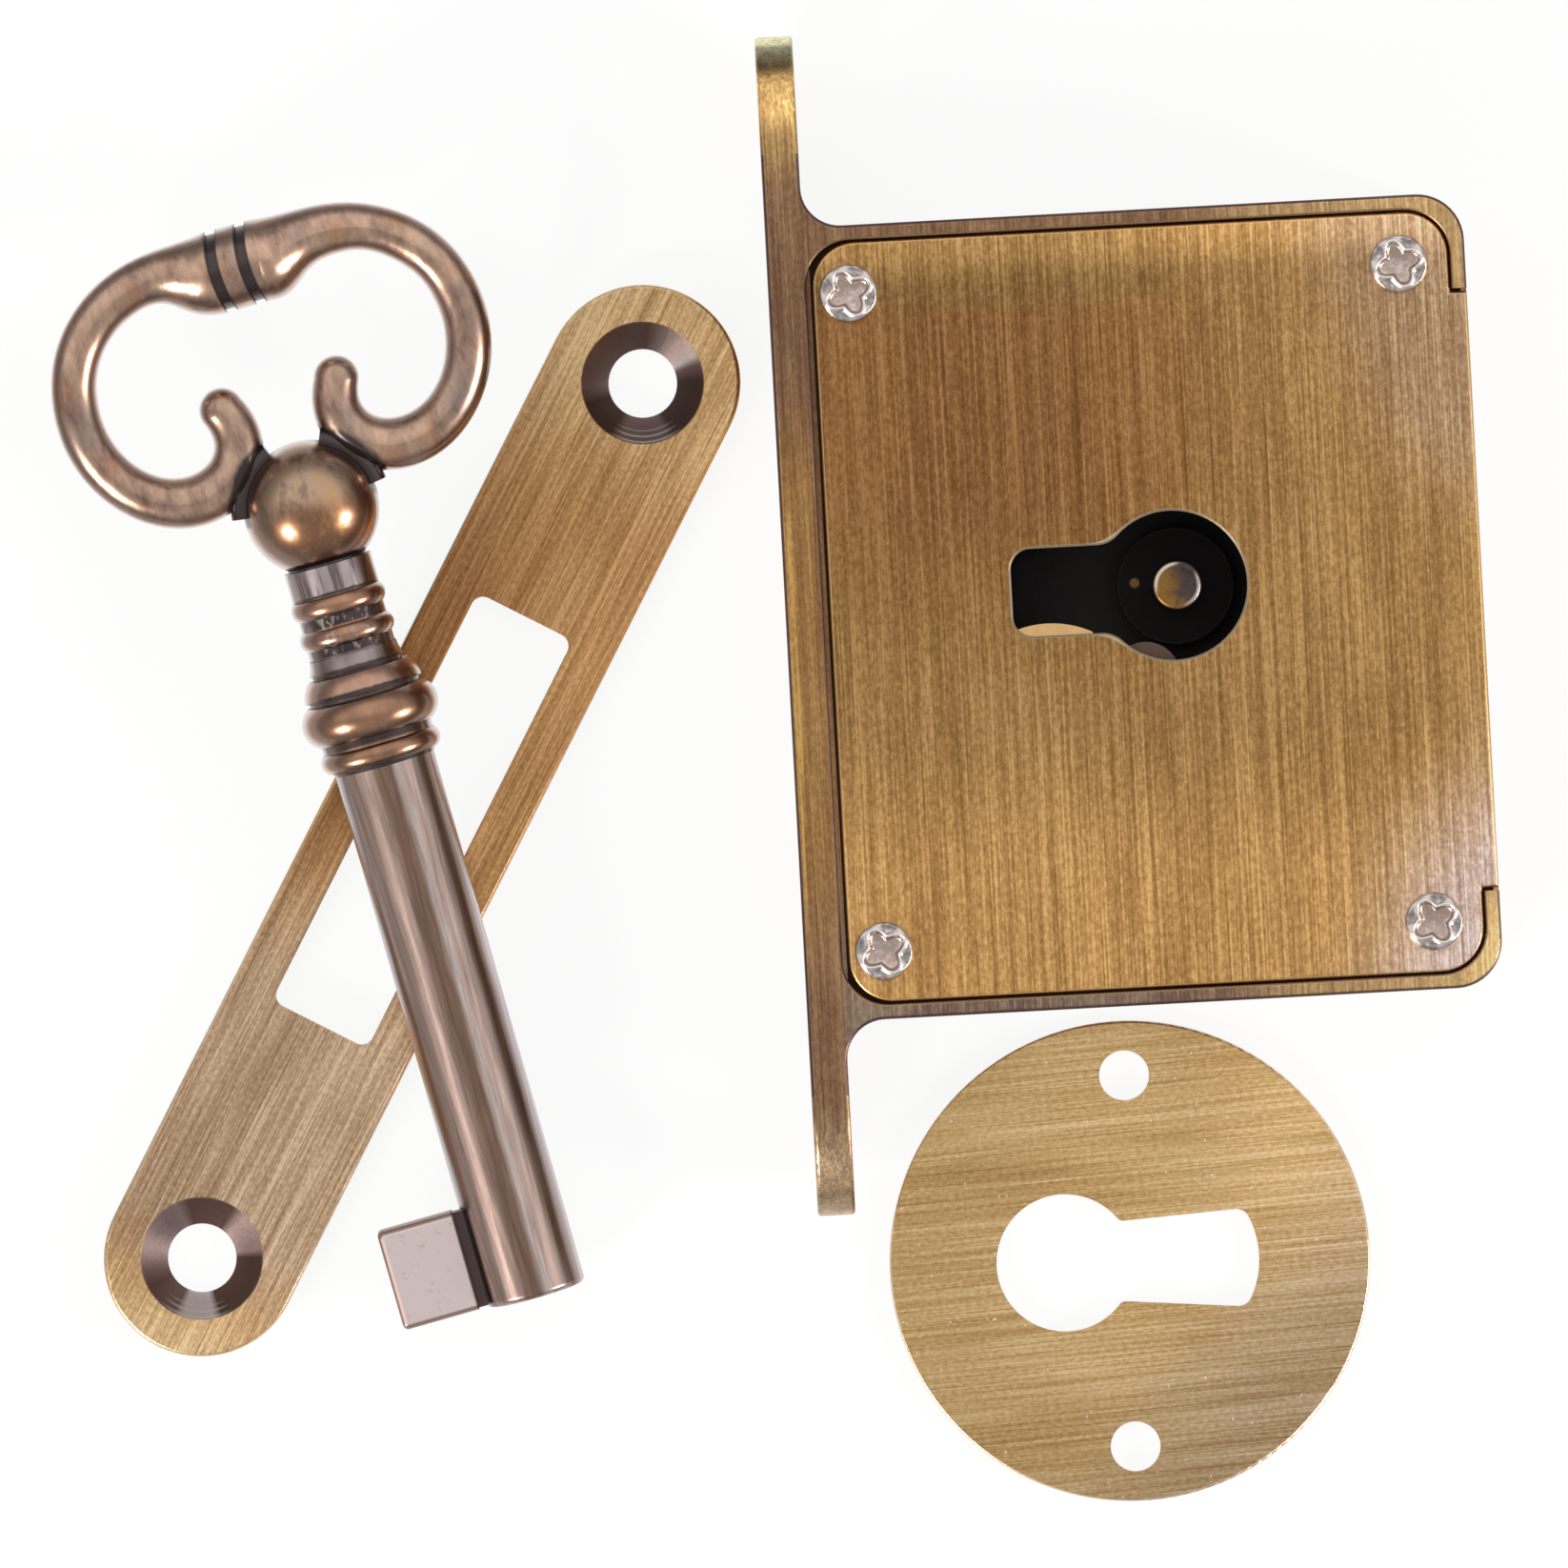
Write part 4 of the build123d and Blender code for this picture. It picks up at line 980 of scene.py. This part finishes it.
def makeBitMetal():
    # pale tumbled face; dark patina and painted shade in the groove by the shank, and a painted
    # dark reflection on the rounded edges
    look = bitLook
    material, tree, shader = newMaterial("paleBitMetal")
    place = turnedPlace(tree, keyLook["ballCentre"], keyLook["angle"] + 90)
    split = addNode(tree, "ShaderNodeSeparateXYZ", {0: place})
    scratch = fade(tree, grainNoise(tree, place, *look["scratchNoise"]), *look["scratchFrom"])
    neckAt, soft = look["neckAt"], look["neckSoft"]
    colour = layered(tree, toLinear(look["face"]), [
        (allOf(tree, [scratch, look["scratchShare"]]), look["scratch"]),
        (allOf(tree, [tilt(tree), look["edgeShare"]]), look["edge"]),
        (fade(tree, split.outputs["X"], neckAt - soft, neckAt + soft), look["neck"]),
    ])
    finishMetal(tree, shader, colour, look["roughness"])
    return material


paint("key_bow", makeKeyBronze())
paint("key_shank", makeShankBronze())
paint("key_bit", makeBitMetal())
print("key ready")


# cover screws: pan heads with a worn cross recess, one tree sets all four

screwLook = {
    "headRadius": 1.84, "headHeight": 0.88, "edgeRound": 0.3, "lobes": 4,
    "recessReach": 1.52, "recessWaist": 0.96, "recessPoint": 1.7,
    "recessDepth": 0.3, "recessRise": 0.5, "wall": 0.3,
    "ridge": 0.07, "ridgeWidth": 0.11, "facet": 0.12, "facetReach": 0.3,
    "shankRadius": 0.95, "shankLength": 6.0, "tipLength": 0.5, "tipShare": 0.45,
    "rings": 30, "ringSpread": 0.9, "turns": 96, "weld": 0.002,
    "spacingX": 35.05, "spacingY": 41.9, "centreX": -2.375, "centreY": -1.3, "seat": 12.3,
    "seed": 4,
    # widths of the recess, facet and lip zones on the finish, in millimetres
    "recessWear": 0.16, "facetWear": 0.2, "lipWear": 0.1, "wearAbove": 0.01,
    # the lip's colour is a painted highlight, the facets' colour painted shade
    "face": "#DACDC8", "facetDark": "#7F7876", "floor": "#B59C8F", "bright": "#F6ECE8",
    "roughness": 0.27, "grain": (0.4, 0.4, 2.0, 0.6), "grainFrom": (0.25, 0.6), "floorShare": 0.9,
    "facetShare": 0.8, "facetFrom": (0.45, 0.8), "lipFrom": (0.3, 0.9),
}


def upTo(value, limit=1.0):
    # value kept between 0 and limit
    return min(limit, max(0.0, value))


def pastRecess(r, angle):
    # millimetres outside the edge of the recess, less than 0 inside it
    look = screwLook
    lobe = abs(math.cos(look["lobes"] * angle / 2)) ** look["recessPoint"]
    return r - (look["recessWaist"] + (look["recessReach"] - look["recessWaist"]) * lobe)


def betweenLobes(angle):
    return math.sin(screwLook["lobes"] * angle / 2) ** 2


def headHeight(r, angle):
    # crowned head with a raised lip round its recess and shallow facets between the lobes
    look = screwLook
    edge = upTo((look["headRadius"] - r) / look["edgeRound"])
    crown = look["headHeight"] - look["edgeRound"] * (1 - math.sqrt(max(0.0, 1 - (1 - edge) ** 2)))
    gap = pastRecess(r, angle)
    lip = look["ridge"] * math.exp(-(gap / look["ridgeWidth"]) ** 2)
    floor = look["recessDepth"] * (1 - look["recessRise"] * min(1.0, r / look["recessReach"]) ** 2)
    facet = look["facet"] * betweenLobes(angle) * upTo(gap / look["facetReach"]) * edge
    return crown + lip - facet - floor * upTo(-gap / look["wall"])


def headWear(r, angle):
    # share of recess, of facet and of lip, kept on the mesh for the finish
    look = screwLook
    gap = pastRecess(r, angle)
    facet = betweenLobes(angle) * upTo(gap / look["facetWear"])
    return upTo(-gap / look["recessWear"]), facet, math.exp(-(gap / look["lipWear"]) ** 2)


def makeScrewMesh():
    # polar grid for the head with its recess, and a plain shank below
    look = screwLook
    angles = [2 * math.pi * k / look["turns"] for k in range(look["turns"])]
    rows = []
    for i in range(look["rings"] + 1):
        r = look["headRadius"] * math.sin(math.pi / 2 * i / look["rings"]) ** look["ringSpread"]
        rows.append([(r * math.cos(a), r * math.sin(a), headHeight(r, a)) for a in angles])
    for r, z in (
        (look["headRadius"], 0.0), (look["shankRadius"], 0.0),
        (look["shankRadius"], -look["shankLength"] + look["tipLength"]),
        (look["shankRadius"] * look["tipShare"], -look["shankLength"]),
        (look["weld"] / 2, -look["shankLength"]),   # welds to a point
    ):
        rows.append([(r * math.cos(a), r * math.sin(a), z) for a in angles])
    mesh = bmesh.new()
    rows = [[mesh.verts.new(place) for place in row] for row in rows]
    for inner, outer in zip(rows, rows[1:]):
        for k in range(look["turns"]):
            after = (k + 1) % look["turns"]
            mesh.faces.new((inner[k], outer[k], outer[after], inner[after]))
    bmesh.ops.remove_doubles(mesh, verts=mesh.verts, dist=look["weld"])
    bmesh.ops.recalc_face_normals(mesh, faces=mesh.faces)
    bmesh.ops.scale(mesh, vec=(0.001, 0.001, 0.001), verts=mesh.verts)
    data = bpy.data.meshes.new("screwBlank")
    mesh.to_mesh(data)
    mesh.free()
    marks = data.attributes.new("wear", "FLOAT_VECTOR", "POINT")
    for vertex, mark in zip(data.vertices, marks.data):
        x, y, z = (1000 * c for c in vertex.co)
        onHead = z > look["wearAbove"]
        mark.vector = headWear(math.hypot(x, y), math.atan2(y, x)) if onHead else (0.0, 0.0, 0.0)
    for face in data.polygons:
        face.use_smooth = True
    return data


def makeScrewNickel():
    # nickelled steel, pale and glossy: a painted highlight on the lip and painted shade on the
    # facets, round a brown recess
    look = screwLook
    material, tree, shader = newMaterial("nickelledScrewSteel")
    place = turnedPlace(tree, (0, 0, look["seat"]), 0.0)
    grain = fade(tree, grainNoise(tree, place, *look["grain"]), *look["grainFrom"])
    wear = addNode(tree, "ShaderNodeAttribute", attribute_type="GEOMETRY", attribute_name="wear")
    share = addNode(tree, "ShaderNodeSeparateXYZ", {0: wear.outputs["Vector"]})
    facet = fade(tree, share.outputs["Y"], *look["facetFrom"])
    colour = layered(tree, toLinear(look["face"]), [
        (allOf(tree, [facet, grain, look["facetShare"]]), look["facetDark"]),
        (allOf(tree, [share.outputs["X"], grain, look["floorShare"]]), look["floor"]),
        (fade(tree, share.outputs["Z"], *look["lipFrom"]), look["bright"]),
    ])
    finishMetal(tree, shader, colour, look["roughness"])
    return material


def makeScrewTree(material):
    # four copies at the corners of a rectangle, each driven to its own angle
    tree = bpy.data.node_groups.new("fourCornerScrews", "GeometryNodeTree")
    for name, kind in (
        ("Geometry", "Geometry"), ("Spacing X", "Float"), ("Spacing Y", "Float"),
        ("Seat", "Vector"), ("Seed", "Int"),
    ):
        tree.interface.new_socket(name, in_out="INPUT", socket_type="NodeSocket" + kind)
    tree.interface.new_socket("Geometry", in_out="OUTPUT", socket_type="NodeSocketGeometry")
    given = addNode(tree, "NodeGroupInput")
    corners = addNode(tree, "GeometryNodeMeshGrid", {
        "Size X": given.outputs["Spacing X"], "Size Y": given.outputs["Spacing Y"],
        "Vertices X": 2, "Vertices Y": 2,
    })
    angle = addNode(tree, "FunctionNodeRandomValue", {
        "Min": (0.0, 0.0, 0.0), "Max": (0.0, 0.0, math.pi), "Seed": given.outputs["Seed"],
    }, data_type="FLOAT_VECTOR")
    copies = addNode(tree, "GeometryNodeInstanceOnPoints", {
        "Points": corners.outputs["Mesh"], "Instance": given.outputs["Geometry"],
        "Rotation": angle.outputs["Value"],
    })
    placed = addNode(tree, "GeometryNodeTransform", {
        "Geometry": copies.outputs[0], "Translation": given.outputs["Seat"],
    })
    real = addNode(tree, "GeometryNodeRealizeInstances", {0: placed.outputs[0]})
    finished = addNode(tree, "GeometryNodeSetMaterial", {
        "Geometry": real.outputs[0], "Material": material,
    })
    addNode(tree, "NodeGroupOutput", {0: finished.outputs[0]})
    return tree


def setTree(holder, tree, values):
    # runs a tree on holder with these named inputs, and gives back a plain mesh object
    modifier = holder.modifiers.new("build", "NODES")
    modifier.node_group = tree
    for item in tree.interface.items_tree:
        if item.in_out == "INPUT" and item.name in values:
            modifier[item.identifier] = values[item.name]
    bpy.context.view_layer.update()
    graph = bpy.context.evaluated_depsgraph_get()
    data = bpy.data.meshes.new_from_object(holder.evaluated_get(graph))
    made = bpy.data.objects.new(holder.name + "Set", data)
    bpy.context.scene.collection.objects.link(made)
    bpy.data.objects.remove(holder)
    return made


screwBlank = bpy.data.objects.new("coverScrew", makeScrewMesh())
bpy.context.scene.collection.objects.link(screwBlank)
coverScrews = setTree(screwBlank, makeScrewTree(makeScrewNickel()), {
    "Spacing X": screwLook["spacingX"] / 1000, "Spacing Y": screwLook["spacingY"] / 1000,
    "Seat": [screwLook[name] / 1000 for name in ("centreX", "centreY", "seat")],
    "Seed": screwLook["seed"],
})
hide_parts("cover_screws")
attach(coverScrews, "lock_case")
print("cover screws ready")
